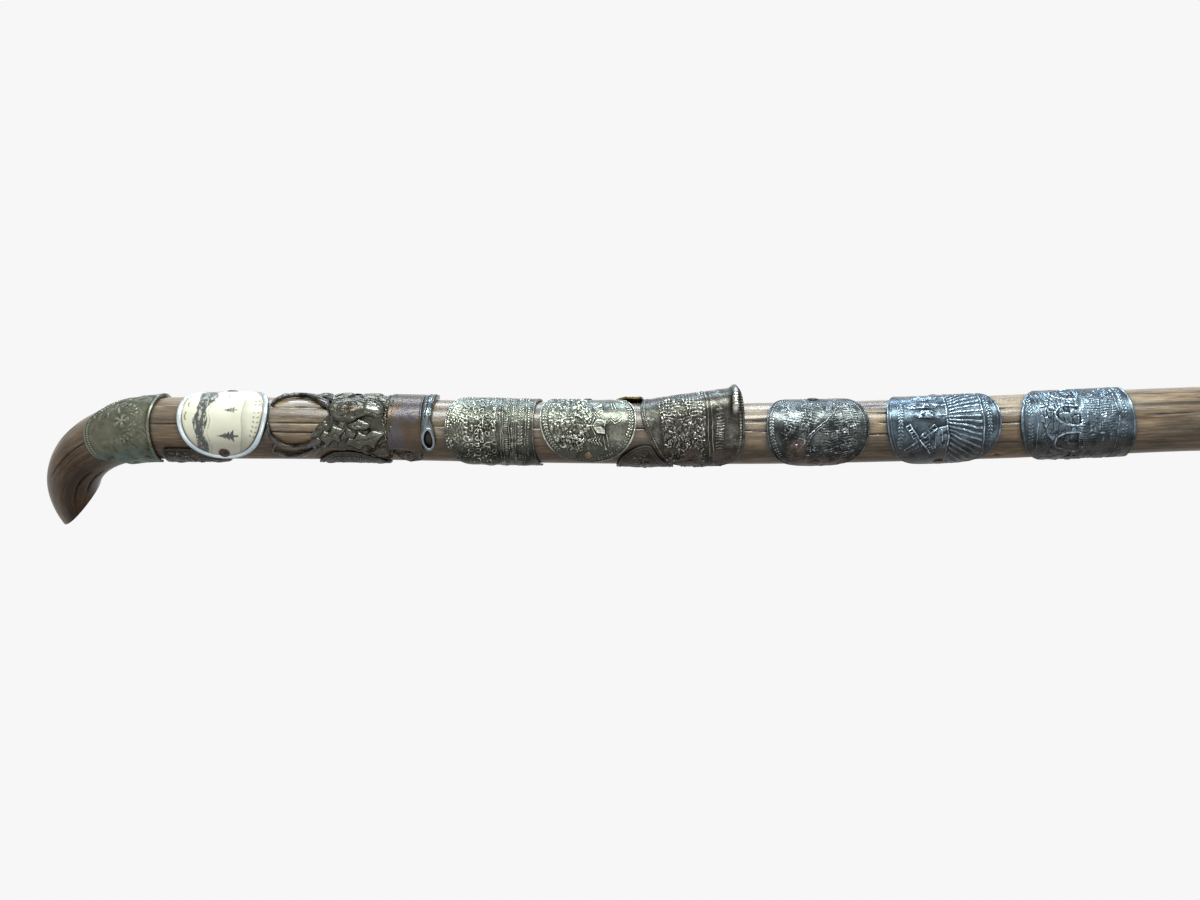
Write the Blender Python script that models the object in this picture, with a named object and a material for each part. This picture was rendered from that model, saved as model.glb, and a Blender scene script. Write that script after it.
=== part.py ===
"""Decorated walking stick: a bent-wood stick with pressed metal badges nailed round it, on a steel spike.

Metres, +Z up. The origin is the middle of the flat on the spike's tip. The crook bends towards -X, in the XZ plane.
Places on the stick are given unrolled: "down" is the distance below the start of the bend, measured along the
stick's middle line (less than zero is on the crook), "turn" is an angle round the stick from its front line, and
"lift" is the height above the wood.
"""

import math

import bmesh
import bpy
from mathutils import Matrix, Vector

# Gap kept between two pieces that touch, and the wider one between badges that lie edge to edge
CLEARANCE = 0.0003
NEST_GAP = 0.0005

# Wood
STRAIGHT_LENGTH = 0.8118
GRIP_DIAMETER = 0.0206
NECK_DIAMETER = 0.0203
NECK_DOWN = 0.180
BELLY_DIAMETER = 0.0213
BELLY_DOWN = 0.330
FOOT_DIAMETER = 0.0166
SWAY = 0.0039
SWAY_LENGTH = 0.400
CROOK_RADIUS = 0.042
CROOK_END_DIAMETER = 0.0160
CROOK_ANGLE = math.radians(96)
CROOK_HEEL_ANGLE = math.radians(66.5)
MITRE_ROUNDING = 0.0012

# The badges' front line, turned from the side of the crook's plane (-Y) towards the back of the hand (+X)
FRONT_TURN = math.radians(50)

# Steel foot
SPIKE_REACH = 0.0140
SPIKE_TIP_DIAMETER = 0.0036
SPIKE_DIAMETER = 0.0062
SPIKE_COLLAR_DIAMETER = 0.0090
SPIKE_COLLAR = 0.0018
SPIKE_SHANK_DIAMETER = 0.0040
SPIKE_SHANK_LENGTH = 0.026
FERRULE_LENGTH = 0.045
FERRULE_END_DIAMETER = 0.0130
FERRULE_WALL = 0.0008
FERRULE_FLOOR = 0.0015
FERRULE_BEAD = 0.0007
PIN_BELOW_MOUTH = 0.010

# Badge sheet and nails
SHEET = 0.0006
RIM_RISE = 0.0004
RIM_WIDTH = 0.0011
RIM_SLOPE = 0.0005
NAIL_HEAD_DIAMETER = 0.0036
NAIL_HEAD_HEIGHT = 0.0009
NAIL_SHANK_DIAMETER = 0.0014
NAIL_IN_WOOD = 0.0055

# Badges, from the crook down: length along the stick, wrap round it, where the near edge starts, middle's turn
CROOK_SHIELD_LENGTH = 0.0248
CROOK_SHIELD_WRAP = 0.0420
CROOK_SHIELD_REACH = 0.0208
CROOK_SHIELD_TURN = math.radians(12)
DISC_LENGTH = 0.0296
DISC_WRAP = 0.0334
DISC_START = 0.0084
DISC_TURN = math.radians(25)
CUP_FLOOR = 0.0005
CUP_RIM_WIDTH = 0.0015
PRINT_THICKNESS = 0.0007
STAG_LENGTH = 0.0550
STAG_WRAP = 0.0360
STAG_NEST = 0.0006
STAG_TURN = math.radians(22)
STAG_LEAF_RISE = 0.0003
TOWN_LENGTH = 0.0288
TOWN_WRAP = 0.0460
TOWN_GAP = 0.0028
TOWN_TURN = math.radians(24)
ROUND_LENGTH = 0.0315
ROUND_WRAP = 0.0330
ROUND_GAP = 0.0020
ROUND_TURN = math.radians(25)
FLARED_LENGTH = 0.0336
FLARED_WRAP = 0.0355
FLARED_GAP = 0.0015
FLARED_TURN = math.radians(11)
FLARE_RISE = 0.0048
SILVER_OVAL_LENGTH = 0.0334
SILVER_OVAL_WRAP = 0.0360
SILVER_OVAL_GAP = 0.0070
SILVER_OVAL_TURN = math.radians(8)
TREE_OVAL_LENGTH = 0.0370
TREE_OVAL_WRAP = 0.0420
TREE_OVAL_GAP = 0.0057
TREE_OVAL_TURN = math.radians(15)
BARREL_LENGTH = 0.0372
BARREL_WRAP = 0.0460
BARREL_GAP = 0.0062
BARREL_TURN = math.radians(24)
BAND_MORE_BEHIND = 0.0080
UNDER_UPPER_LENGTH = 0.0200
UNDER_UPPER_WRAP = 0.0240
UNDER_UPPER_DOWN = 0.0120
UNDER_UPPER_TURN = math.radians(-101)
UNDER_ROUND_DIAMETER = 0.0240
UNDER_ROUND_DOWN = 0.0640
UNDER_ROUND_TURN = math.radians(-101)
UNDER_ARCH_LENGTH = 0.0190
UNDER_ARCH_WRAP = 0.0260
UNDER_ARCH_DOWN = 0.1605
UNDER_ARCH_TURN = math.radians(-89)
BACK_BRASS_LENGTH = 0.0170
BACK_BRASS_WRAP = 0.0230
BACK_BRASS_DOWN = 0.1575
BACK_BRASS_TURN = math.radians(136)
BACK_BRASS_RISE = 0.0013

# Facets
WOOD_SIDES = 24
WRAP_STEP = math.radians(15)
BEND_STEP = math.radians(8)
STRAIGHT_STEP = 0.030
NAIL_SIDES = 8

STAGE = bpy.data.objects


def clear_scene():
    for old in list(STAGE):
        STAGE.remove(old, do_unlink=True)


def material(name, colour, roughness, metallic):
    made = bpy.data.materials.new(name)
    made.use_nodes = True
    shader = made.node_tree.nodes["Principled BSDF"]
    shader.inputs["Base Color"].default_value = (*colour, 1.0)
    shader.inputs["Roughness"].default_value = roughness
    shader.inputs["Metallic"].default_value = metallic
    return made


def add_object(name, bm, look=None):
    """A new object from a bmesh, shaded smooth with its creases kept."""
    mesh = bpy.data.meshes.new(name)
    bm.to_mesh(mesh)
    bm.free()
    mesh.shade_smooth()
    mesh.set_sharp_from_angle(angle=math.radians(35))
    if look is not None:
        mesh.materials.append(look)
    made = STAGE.new(name, mesh)
    bpy.context.scene.collection.objects.link(made)
    return made


def add_boolean(base, tool, operation="DIFFERENCE"):
    """A live exact Boolean on base. Its tool is kept as a wire guide that no render shows."""
    tool.hide_render = True
    tool.display_type = "WIRE"
    cut = base.modifiers.new(tool.name, "BOOLEAN")
    cut.operation = operation
    cut.solver = "EXACT"
    cut.object = tool


def baked(base):
    """The base object's evaluated shape as a bmesh. The object and its tools are removed."""
    tools = [cut.object for cut in base.modifiers]
    bpy.context.view_layer.update()
    shape = base.evaluated_get(bpy.context.evaluated_depsgraph_get())
    bm = bmesh.new()
    bm.from_mesh(shape.to_mesh())
    shape.to_mesh_clear()
    for done in [base, *tools]:
        STAGE.remove(done, do_unlink=True)
    return bm


# The stick's own shape


FERRULE_FOOT = SPIKE_REACH + CLEARANCE
WOOD_FOOT = FERRULE_FOOT + FERRULE_FLOOR + CLEARANCE
BEND_HEIGHT = WOOD_FOOT + STRAIGHT_LENGTH
FERRULE_MOUTH = FERRULE_FOOT + FERRULE_LENGTH
MOUTH_DOWN = BEND_HEIGHT - FERRULE_MOUTH
TENON_END_RADIUS = FERRULE_END_DIAMETER / 2 - FERRULE_WALL - CLEARANCE


def ease(share):
    """0 to 1 with level ends."""
    share = min(1.0, max(0.0, share))
    return share * share * (3 - 2 * share)


def wood_radius(down):
    """Radius of the wood: it slims at the neck, swells at the belly and tapers to the ferrule."""
    if down < 0:
        share = min(1.0, -down / (CROOK_RADIUS * CROOK_ANGLE))
        return (GRIP_DIAMETER + (CROOK_END_DIAMETER - GRIP_DIAMETER) * share) / 2
    if down < NECK_DOWN:
        return (GRIP_DIAMETER + (NECK_DIAMETER - GRIP_DIAMETER) * ease(down / NECK_DOWN)) / 2
    if down < BELLY_DOWN:
        share = ease((down - NECK_DOWN) / (BELLY_DOWN - NECK_DOWN))
        return (NECK_DIAMETER + (BELLY_DIAMETER - NECK_DIAMETER) * share) / 2
    if down < MOUTH_DOWN:
        share = ease((down - BELLY_DOWN) / (MOUTH_DOWN - BELLY_DOWN))
        return (BELLY_DIAMETER + (FOOT_DIAMETER - BELLY_DIAMETER) * share) / 2
    share = min(1.0, (down - MOUTH_DOWN) / (STRAIGHT_LENGTH - MOUTH_DOWN))
    return FOOT_DIAMETER / 2 + (TENON_END_RADIUS - FOOT_DIAMETER / 2) * share


def middle_line(down):
    """The middle of the stick there, and the direction that the stick's outer side faces."""
    if down < 0:
        bend = -down / CROOK_RADIUS
        outer = Vector((math.cos(bend), 0, math.sin(bend)))
        return Vector((-CROOK_RADIUS, 0, BEND_HEIGHT)) + CROOK_RADIUS * outer, outer
    share = min(1.0, down / SWAY_LENGTH)
    sway = SWAY * (1 - math.cos(2 * math.pi * share)) / 2
    return Vector((-sway * math.cos(FRONT_TURN), -sway * math.sin(FRONT_TURN), BEND_HEIGHT - down)), Vector((1, 0, 0))


def direction(down, turn):
    """The direction away from the stick's middle line."""
    outer = middle_line(down)[1]
    side = Vector((0, -1, 0))
    return math.sin(FRONT_TURN + turn) * outer + math.cos(FRONT_TURN + turn) * side


def on_stick(down, turn, lift):
    return middle_line(down)[0] + (wood_radius(down) + lift) * direction(down, turn)


def wood_stations():
    """Places along the stick for its rings of points, from past the crook's end to the foot."""
    bend_steps = math.ceil(CROOK_ANGLE / BEND_STEP) + 2
    bend = [-step * BEND_STEP * CROOK_RADIUS for step in range(bend_steps, 0, -1)]
    count = math.ceil(MOUTH_DOWN / STRAIGHT_STEP)
    return bend + [MOUTH_DOWN * step / count for step in range(count + 1)] + [STRAIGHT_LENGTH]


def make_stick():
    """One round bar swept along the middle line, with a slanted end to the crook."""
    bm = bmesh.new()
    stations = wood_stations()
    turns = [2 * math.pi * side / WOOD_SIDES for side in range(WOOD_SIDES)]
    ring = bmesh.ops.create_circle(bm, segments=WOOD_SIDES, radius=wood_radius(stations[0]))["verts"]
    edges = list(bm.edges)
    for vert, turn in zip(ring, turns):
        vert.co = on_stick(stations[0], turn, 0)
    for down in stations[1:]:
        grown = bmesh.ops.extrude_edge_only(bm, edges=edges)["geom"]
        ring = [item for item in grown if isinstance(item, bmesh.types.BMVert)]
        edges = [item for item in grown if isinstance(item, bmesh.types.BMEdge)]
        for vert, turn in zip(ring, turns):
            vert.co = on_stick(down, turn, 0)
    bmesh.ops.holes_fill(bm, edges=bm.edges, sides=WOOD_SIDES)
    bmesh.ops.recalc_face_normals(bm, faces=bm.faces)
    mitre_crook(bm)
    return add_object("stick_wood", bm, WOOD)


def crook_point(bend, reach):
    """A point of the crook's plane at a bend angle, that far from the bend's centre."""
    return Vector((reach * math.cos(bend) - CROOK_RADIUS, 0, BEND_HEIGHT + reach * math.sin(bend)))


def bend_of(point):
    return math.atan2(point.z - BEND_HEIGHT, point.x + CROOK_RADIUS)


def mitre_crook(bm):
    """Cuts the crook's end on the slant, from its outer tip back to its inner heel, and rounds the cut's edge."""
    tip = crook_point(CROOK_ANGLE, CROOK_RADIUS + CROOK_END_DIAMETER / 2)
    heel = crook_point(CROOK_HEEL_ANGLE, CROOK_RADIUS - wood_radius(-CROOK_HEEL_ANGLE * CROOK_RADIUS))
    facing = Vector((tip.z - heel.z, 0, heel.x - tip.x)) * -1
    near = [face for face in bm.faces if bend_of(face.calc_center_median()) > CROOK_HEEL_ANGLE - BEND_STEP]
    edges = {edge for face in near for edge in face.edges}
    verts = {vert for face in near for vert in face.verts}
    geometry = [*near, *edges, *verts]
    cut = bmesh.ops.bisect_plane(bm, geom=geometry, plane_co=tip, plane_no=facing, clear_outer=True)["geom_cut"]
    rim = [item for item in cut if isinstance(item, bmesh.types.BMEdge)]
    bmesh.ops.holes_fill(bm, edges=rim, sides=0)
    bmesh.ops.bevel(bm, geom=rim, offset=MITRE_ROUNDING, offset_type="OFFSET", affect="EDGES", segments=2,
                    profile=0.5, material=-1, clamp_overlap=True)
    bmesh.ops.recalc_face_normals(bm, faces=bm.faces)


# Turned pieces


def revolve(bm, profile, sides, at=Matrix.Identity(4)):
    """A solid of revolution about local Z from a profile of (radius, height), open at the axis or closed."""
    verts = [bm.verts.new((radius, 0, height)) for radius, height in profile]
    edges = [bm.edges.new(pair) for pair in zip(verts, verts[1:])]
    if profile[0][0] > 0:
        edges.append(bm.edges.new((verts[-1], verts[0])))
    bmesh.ops.spin(bm, geom=[*verts, *edges], angle=2 * math.pi, steps=sides, axis=(0, 0, 1), cent=(0, 0, 0),
                   use_merge=True, use_duplicate=False)
    bmesh.ops.remove_doubles(bm, verts=bm.verts, dist=0.000001)
    bmesh.ops.recalc_face_normals(bm, faces=bm.faces)
    bmesh.ops.transform(bm, matrix=at, verts=bm.verts)
    return bm


def make_ferrule():
    """A thin tapered cup over the stick's foot, with a rolled bead at its mouth and a hole for the spike."""
    hole = SPIKE_SHANK_DIAMETER / 2 + CLEARANCE
    mouth = FOOT_DIAMETER / 2 + CLEARANCE
    end = FERRULE_END_DIAMETER / 2
    floor = FERRULE_FOOT + FERRULE_FLOOR
    profile = [
        (hole, FERRULE_FOOT),
        (end - FERRULE_WALL, FERRULE_FOOT),
        (end, FERRULE_FOOT + FERRULE_WALL),
        (mouth + FERRULE_WALL, FERRULE_MOUTH - 4 * FERRULE_BEAD),
        (mouth + FERRULE_WALL + FERRULE_BEAD, FERRULE_MOUTH - 2.5 * FERRULE_BEAD),
        (mouth + FERRULE_WALL + FERRULE_BEAD, FERRULE_MOUTH - FERRULE_BEAD),
        (mouth + FERRULE_WALL, FERRULE_MOUTH),
        (mouth, FERRULE_MOUTH),
        (end - FERRULE_WALL, floor),
        (hole, floor),
    ]
    return add_object("tip_ferrule", revolve(bmesh.new(), profile, WOOD_SIDES), STEEL)


def make_spike():
    """Blunt steel point, a collar under the ferrule, and a shank driven up into the wood."""
    shank = SPIKE_SHANK_DIAMETER / 2
    top = WOOD_FOOT + SPIKE_SHANK_LENGTH
    collar = SPIKE_COLLAR_DIAMETER / 2
    profile = [
        (0, 0),
        (SPIKE_TIP_DIAMETER / 2, 0),
        (SPIKE_DIAMETER / 2, SPIKE_REACH - 2 * SPIKE_COLLAR),
        (collar, SPIKE_REACH - SPIKE_COLLAR),
        (collar, SPIKE_REACH),
        (shank, SPIKE_REACH),
        (shank, top - 2 * shank),
        (shank / 3, top),
        (0, top),
    ]
    return add_object("tip_spike", revolve(bmesh.new(), profile, 20), STEEL)


def bore_for_spike(wood):
    radius = SPIKE_SHANK_DIAMETER / 2 + CLEARANCE
    depth = WOOD_FOOT + SPIKE_SHANK_LENGTH + CLEARANCE
    bore = bmesh.new()
    bmesh.ops.create_cone(bore, cap_ends=True, segments=16, radius1=radius, radius2=radius, depth=depth,
                          matrix=Matrix.Translation((0, 0, depth / 2)))
    add_boolean(wood, add_object("cut_spike_bore", bore))


# Nails


def nail_frame(down, turn, lift):
    """Local Z points away from the stick, with the origin at that lift above the wood."""
    away = direction(down, turn)
    frame = away.to_track_quat("Z", "Y").to_matrix().to_4x4()
    frame.translation = on_stick(down, turn, lift)
    return frame


def nail_profile(seat):
    """A round head whose flat underside is at zero, and a shank that reaches down into the wood."""
    head = NAIL_HEAD_DIAMETER / 2
    shank = NAIL_SHANK_DIAMETER / 2
    reach = -(seat + NAIL_IN_WOOD)
    return [
        (0, NAIL_HEAD_HEIGHT),
        (0.76 * head, 0.62 * NAIL_HEAD_HEIGHT),
        (head, 0),
        (shank, 0),
        (shank, reach + 2 * shank),
        (0, reach),
    ]


def make_nails(name, places, seat, look, pieces, missing=()):
    """Nails at (down, turn), seated that far above the wood, and their holes in the pieces and the wood.

    A place numbered as missing has its holes, and no nail.
    """
    holes = bmesh.new()
    radius = NAIL_SHANK_DIAMETER / 2 + CLEARANCE
    reach = seat + NAIL_IN_WOOD + CLEARANCE
    for number, (down, turn) in enumerate(places):
        frame = nail_frame(down, turn, seat)
        if number not in missing:
            add_object(f"{name}_{number + 1}", revolve(bmesh.new(), nail_profile(seat), NAIL_SIDES, frame), look)
        hole = bmesh.new()
        bmesh.ops.create_cone(hole, cap_ends=True, segments=NAIL_SIDES, radius1=radius, radius2=radius,
                              depth=2 * reach, matrix=frame)
        join(holes, hole)
    cutter = add_object("cut_" + name, holes)
    for piece in pieces:
        add_boolean(piece, cutter)


def join(target, source):
    """Adds the source's geometry to the target and frees the source."""
    carried = bpy.data.meshes.new("carried")
    source.to_mesh(carried)
    source.free()
    target.from_mesh(carried)
    bpy.data.meshes.remove(carried)


# Flat drawings. A drawing is a closed list of (along, around) points, fitted to its named length and wrap.


def between(before, here, there, after, share):
    """A point of the smooth curve that runs from here to there."""
    return (here * 2 + (there - before) * share
            + (before * 2 - here * 5 + there * 4 - after) * share ** 2
            + (here * 3 - before - there * 3 + after) * share ** 3) / 2


def smooth_outline(points, corners=(), steps=3):
    """A closed smooth curve through the points, sharp at the numbered corners and straight between two of them."""
    drawn = []
    count = len(points)
    for index in range(count):
        here = Vector(points[index])
        there = Vector(points[(index + 1) % count])
        both = index in corners and (index + 1) % count in corners
        before = 2 * here - there if index in corners else Vector(points[index - 1])
        after = 2 * there - here if (index + 1) % count in corners else Vector(points[(index + 2) % count])
        for step in range(1 if both else steps):
            drawn.append(tuple(between(before, here, there, after, step / steps)))
    return drawn


def oval(length, wrap, steps=22):
    turns = [2 * math.pi * step / steps for step in range(steps)]
    return [(length / 2 * math.cos(turn), wrap / 2 * math.sin(turn)) for turn in turns]


def band_outline(length, wrap, near_bulge, far_bulge, slant=0.0, middle=0.0, steps=8):
    """A sheet with straight ends round the stick. Its near and far edges bulge or hollow about the given middle."""
    near = []
    far = []
    for step in range(steps + 1):
        around = wrap * (step / steps - 0.5)
        share = min(1.0, (around - middle) / (wrap / 2 + middle))
        near.append((near_bulge * share ** 2 - length / 2, around))
        far.append((length / 2 - far_bulge * share ** 2 - slant * share, around))
    return near[::-1] + far


def fitted(outlines, length, wrap):
    """The outlines moved and scaled together, so that the first one spans the length and the wrap about zero."""
    alongs = [point[0] for point in outlines[0]]
    arounds = [point[1] for point in outlines[0]]
    middle = ((max(alongs) + min(alongs)) / 2, (max(arounds) + min(arounds)) / 2)
    scale = (length / (max(alongs) - min(alongs)), wrap / (max(arounds) - min(arounds)))
    return [[((a - middle[0]) * scale[0], (v - middle[1]) * scale[1]) for a, v in line] for line in outlines]


def grown(outline, margin):
    """The outline moved outwards by the margin."""
    count = len(outline)
    area = sum(outline[i - 1][0] * outline[i][1] - outline[i][0] * outline[i - 1][1] for i in range(count))
    out = []
    for index in range(count):
        along = Vector(outline[(index + 1) % count]) - Vector(outline[index - 1])
        normal = Vector((along.y, -along.x)).normalized() * math.copysign(1.0, area)
        out.append(tuple(Vector(outline[index]) + margin * normal))
    return out


def bar(points, widths, steps=3):
    """The outline of a bar that follows a smooth curve through the points, as wide there as the widths say."""
    rows = [Vector((*point, width)) for point, width in zip(points, widths)]
    course = []
    for index in range(len(rows) - 1):
        before = rows[max(0, index - 1)]
        after = rows[min(len(rows) - 1, index + 2)]
        course += [between(before, rows[index], rows[index + 1], after, step / steps) for step in range(steps)]
    course.append(rows[-1])
    left = []
    right = []
    for index, row in enumerate(course):
        along = (course[min(len(course) - 1, index + 1)] - course[max(0, index - 1)]).xy.normalized()
        side = Vector((-along.y, along.x)) * row.z / 2
        left.append(tuple(row.xy + side))
        right.append(tuple(row.xy - side))
    return left + right[::-1]


def slab(outline, low, high, taper=0.0):
    """A flat solid between two lifts, whose top edge is drawn in by the taper."""
    bm = bmesh.new()
    face = bm.faces.new([bm.verts.new((a, v, low)) for a, v in outline])
    bm.normal_update()
    if face.normal.z > 0:
        face.normal_flip()
    top = bmesh.ops.extrude_face_region(bm, geom=[face], use_keep_orig=True)["geom"]
    raised = [item for item in top if isinstance(item, bmesh.types.BMVert)]
    bmesh.ops.translate(bm, verts=raised, vec=(0, 0, high - low))
    if taper > 0:
        lid = [item for item in top if isinstance(item, bmesh.types.BMFace)]
        bmesh.ops.inset_individual(bm, faces=lid, thickness=taper, depth=0.0)
        for vert in raised:
            vert.co.z -= min(taper, (high - low) / 2)
    bmesh.ops.recalc_face_normals(bm, faces=bm.faces)
    return bm


def rimmed_sheet(outline, low, rim=RIM_RISE):
    """A flat sheet with a raised rim along its edge."""
    bm = slab(outline, low, low + SHEET + rim)
    bm.faces.ensure_lookup_table()
    lid = [face for face in bm.faces if face.normal.z > 0.9]
    bmesh.ops.inset_individual(bm, faces=lid, thickness=RIM_WIDTH, depth=0.0, use_even_offset=True)
    bmesh.ops.inset_individual(bm, faces=lid, thickness=RIM_SLOPE, depth=0.0, use_even_offset=True)
    for vert in {vert for face in lid for vert in face.verts}:
        vert.co.z -= rim
    return bm


def joined_flat(base, additions):
    """The union of flat solids."""
    body = add_object("flat", base)
    for number, addition in enumerate(additions):
        add_boolean(body, add_object(f"flat_{number}", addition), "UNION")
    return baked(body)


def bend_round(bm, middle, turn, lift_more=None):
    """Creases a flat solid along the stick and wraps it onto the wood about its middle."""
    radius = wood_radius(middle) + CLEARANCE + SHEET
    span = max(abs(vert.co.y) for vert in bm.verts)
    step = radius * WRAP_STEP
    creases = [((0, number * step, 0), (0, 1, 0)) for number in range(-int(span / step), int(span / step) + 1)]
    nearest = min(vert.co.x for vert in bm.verts)
    along_step = CROOK_RADIUS * BEND_STEP
    number = 1
    while middle + nearest < -number * along_step:
        creases.append(((-number * along_step - middle, 0, 0), (1, 0, 0)))
        number += 1
    if lift_more:
        length = max(vert.co.x for vert in bm.verts) - nearest
        creases += [((nearest + share * length, 0, 0), (1, 0, 0)) for share in (0.25, 0.5, 0.75)]
    for point, normal in creases:
        everything = [*bm.verts, *bm.edges, *bm.faces]
        bmesh.ops.bisect_plane(bm, geom=everything, plane_co=point, plane_no=normal, dist=0.000002)
    bmesh.ops.triangulate(bm, faces=bm.faces)
    for vert in bm.verts:
        along, around, lift = vert.co
        more = lift_more(along, around) if lift_more else 0.0
        vert.co = on_stick(middle + along, turn + around / radius, lift + more)
    return bm


def nail_places(middle, turn, offsets):
    """Flat offsets from a badge's middle as places on the stick."""
    radius = wood_radius(middle) + CLEARANCE + SHEET
    return [(middle + along, turn + around / radius) for along, around in offsets]


def footprint(name, outline, middle, turn, lift_more=None):
    """A guide a little larger than a badge, which trims the badges tucked in beside it."""
    solid = slab(grown(outline, NEST_GAP), -0.002, 0.006)
    return add_object("cut_" + name, bend_round(solid, middle, turn, lift_more))


# Where the badges lie along the stick


CROOK_SHIELD_MIDDLE = CROOK_SHIELD_LENGTH / 2 - CROOK_SHIELD_REACH
DISC_MIDDLE = DISC_START + DISC_LENGTH / 2
STAG_MIDDLE = DISC_START + DISC_LENGTH - STAG_NEST + STAG_LENGTH / 2
TOWN_MIDDLE = STAG_MIDDLE + STAG_LENGTH / 2 + TOWN_GAP + TOWN_LENGTH / 2
ROUND_MIDDLE = TOWN_MIDDLE + TOWN_LENGTH / 2 + ROUND_GAP + ROUND_LENGTH / 2
FLARED_MIDDLE = ROUND_MIDDLE + ROUND_LENGTH / 2 + FLARED_GAP + FLARED_LENGTH / 2
SILVER_OVAL_MIDDLE = FLARED_MIDDLE + FLARED_LENGTH / 2 + SILVER_OVAL_GAP + SILVER_OVAL_LENGTH / 2
TREE_OVAL_MIDDLE = SILVER_OVAL_MIDDLE + SILVER_OVAL_LENGTH / 2 + TREE_OVAL_GAP + TREE_OVAL_LENGTH / 2
BARREL_MIDDLE = TREE_OVAL_MIDDLE + TREE_OVAL_LENGTH / 2 + BARREL_GAP + BARREL_LENGTH / 2
SEAT = CLEARANCE + SHEET + CLEARANCE
NAIL_EDGE = RIM_WIDTH + RIM_SLOPE + NAIL_HEAD_DIAMETER / 2 + CLEARANCE


def crook_shield_outline():
    """A shield on the bend: a round near end, a lobe with a nail hole, and a straight far edge with a flared corner."""
    drawn = [(4.0, 23.0), (-6.0, 23.0), (-14.5, 11.0), (-19.3, 6.6), (-20.8, 0.5), (-20.6, -6.5), (-17.8, -9.8),
             (-13.6, -12.6), (-12.4, -17.0), (-8.0, -19.0), (-4.0, -17.0), (0.4, -17.0), (0.0, -8.0),
             (-0.4, 2.5), (0.2, 8.0), (2.4, 12.5), (4.0, 17.0)]
    outline = smooth_outline(drawn, corners=(0, 1, 11), steps=2)
    return fitted([outline], CROOK_SHIELD_LENGTH, CROOK_SHIELD_WRAP)[0]


def make_crook_shield(wood):
    outline = crook_shield_outline()
    badge = add_object("badge_crook_shield", bend_round(rimmed_sheet(outline, CLEARANCE), CROOK_SHIELD_MIDDLE,
                                                        CROOK_SHIELD_TURN), BRONZE)
    along = -CROOK_SHIELD_LENGTH / 2 + 0.0116
    lobe = (along, -CROOK_SHIELD_WRAP / 2 + NAIL_EDGE)
    back = (0.10 * CROOK_SHIELD_LENGTH, CROOK_SHIELD_WRAP / 2 - NAIL_EDGE)
    places = nail_places(CROOK_SHIELD_MIDDLE, CROOK_SHIELD_TURN, [lobe, back])
    make_nails("nail_crook_shield", places, SEAT, COPPER, [badge, wood], missing=(0,))


def make_disc(wood):
    """A shallow metal cup with a print disc seated in it."""
    outline = oval(DISC_LENGTH, DISC_WRAP)
    inner = oval(DISC_LENGTH - 2 * CUP_RIM_WIDTH, DISC_WRAP - 2 * CUP_RIM_WIDTH)
    inset = CUP_RIM_WIDTH + CLEARANCE
    picture = oval(DISC_LENGTH - 2 * inset, DISC_WRAP - 2 * inset)
    floor = CLEARANCE + CUP_FLOOR
    top = floor + CLEARANCE + PRINT_THICKNESS
    cup = slab(outline, CLEARANCE, top, RIM_SLOPE)
    body = add_object("flat", cup)
    add_boolean(body, add_object("flat_well", slab(inner, floor, top + SHEET)))
    cup_badge = add_object("badge_disc_cup", bend_round(baked(body), DISC_MIDDLE, DISC_TURN), TIN)
    sheet = slab(picture, floor + CLEARANCE, top)
    print_badge = add_object("badge_disc_print", bend_round(sheet, DISC_MIDDLE, DISC_TURN), PRINT)
    edge = DISC_WRAP / 2 - CUP_RIM_WIDTH - NAIL_HEAD_DIAMETER / 2
    places = nail_places(DISC_MIDDLE, DISC_TURN, [(0.0, -edge), (0.0, edge)])
    make_nails("nail_disc", places, top + CLEARANCE, COPPER, [cup_badge, print_badge, wood])
    return footprint("disc_footprint", outline, DISC_MIDDLE, DISC_TURN)


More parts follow.
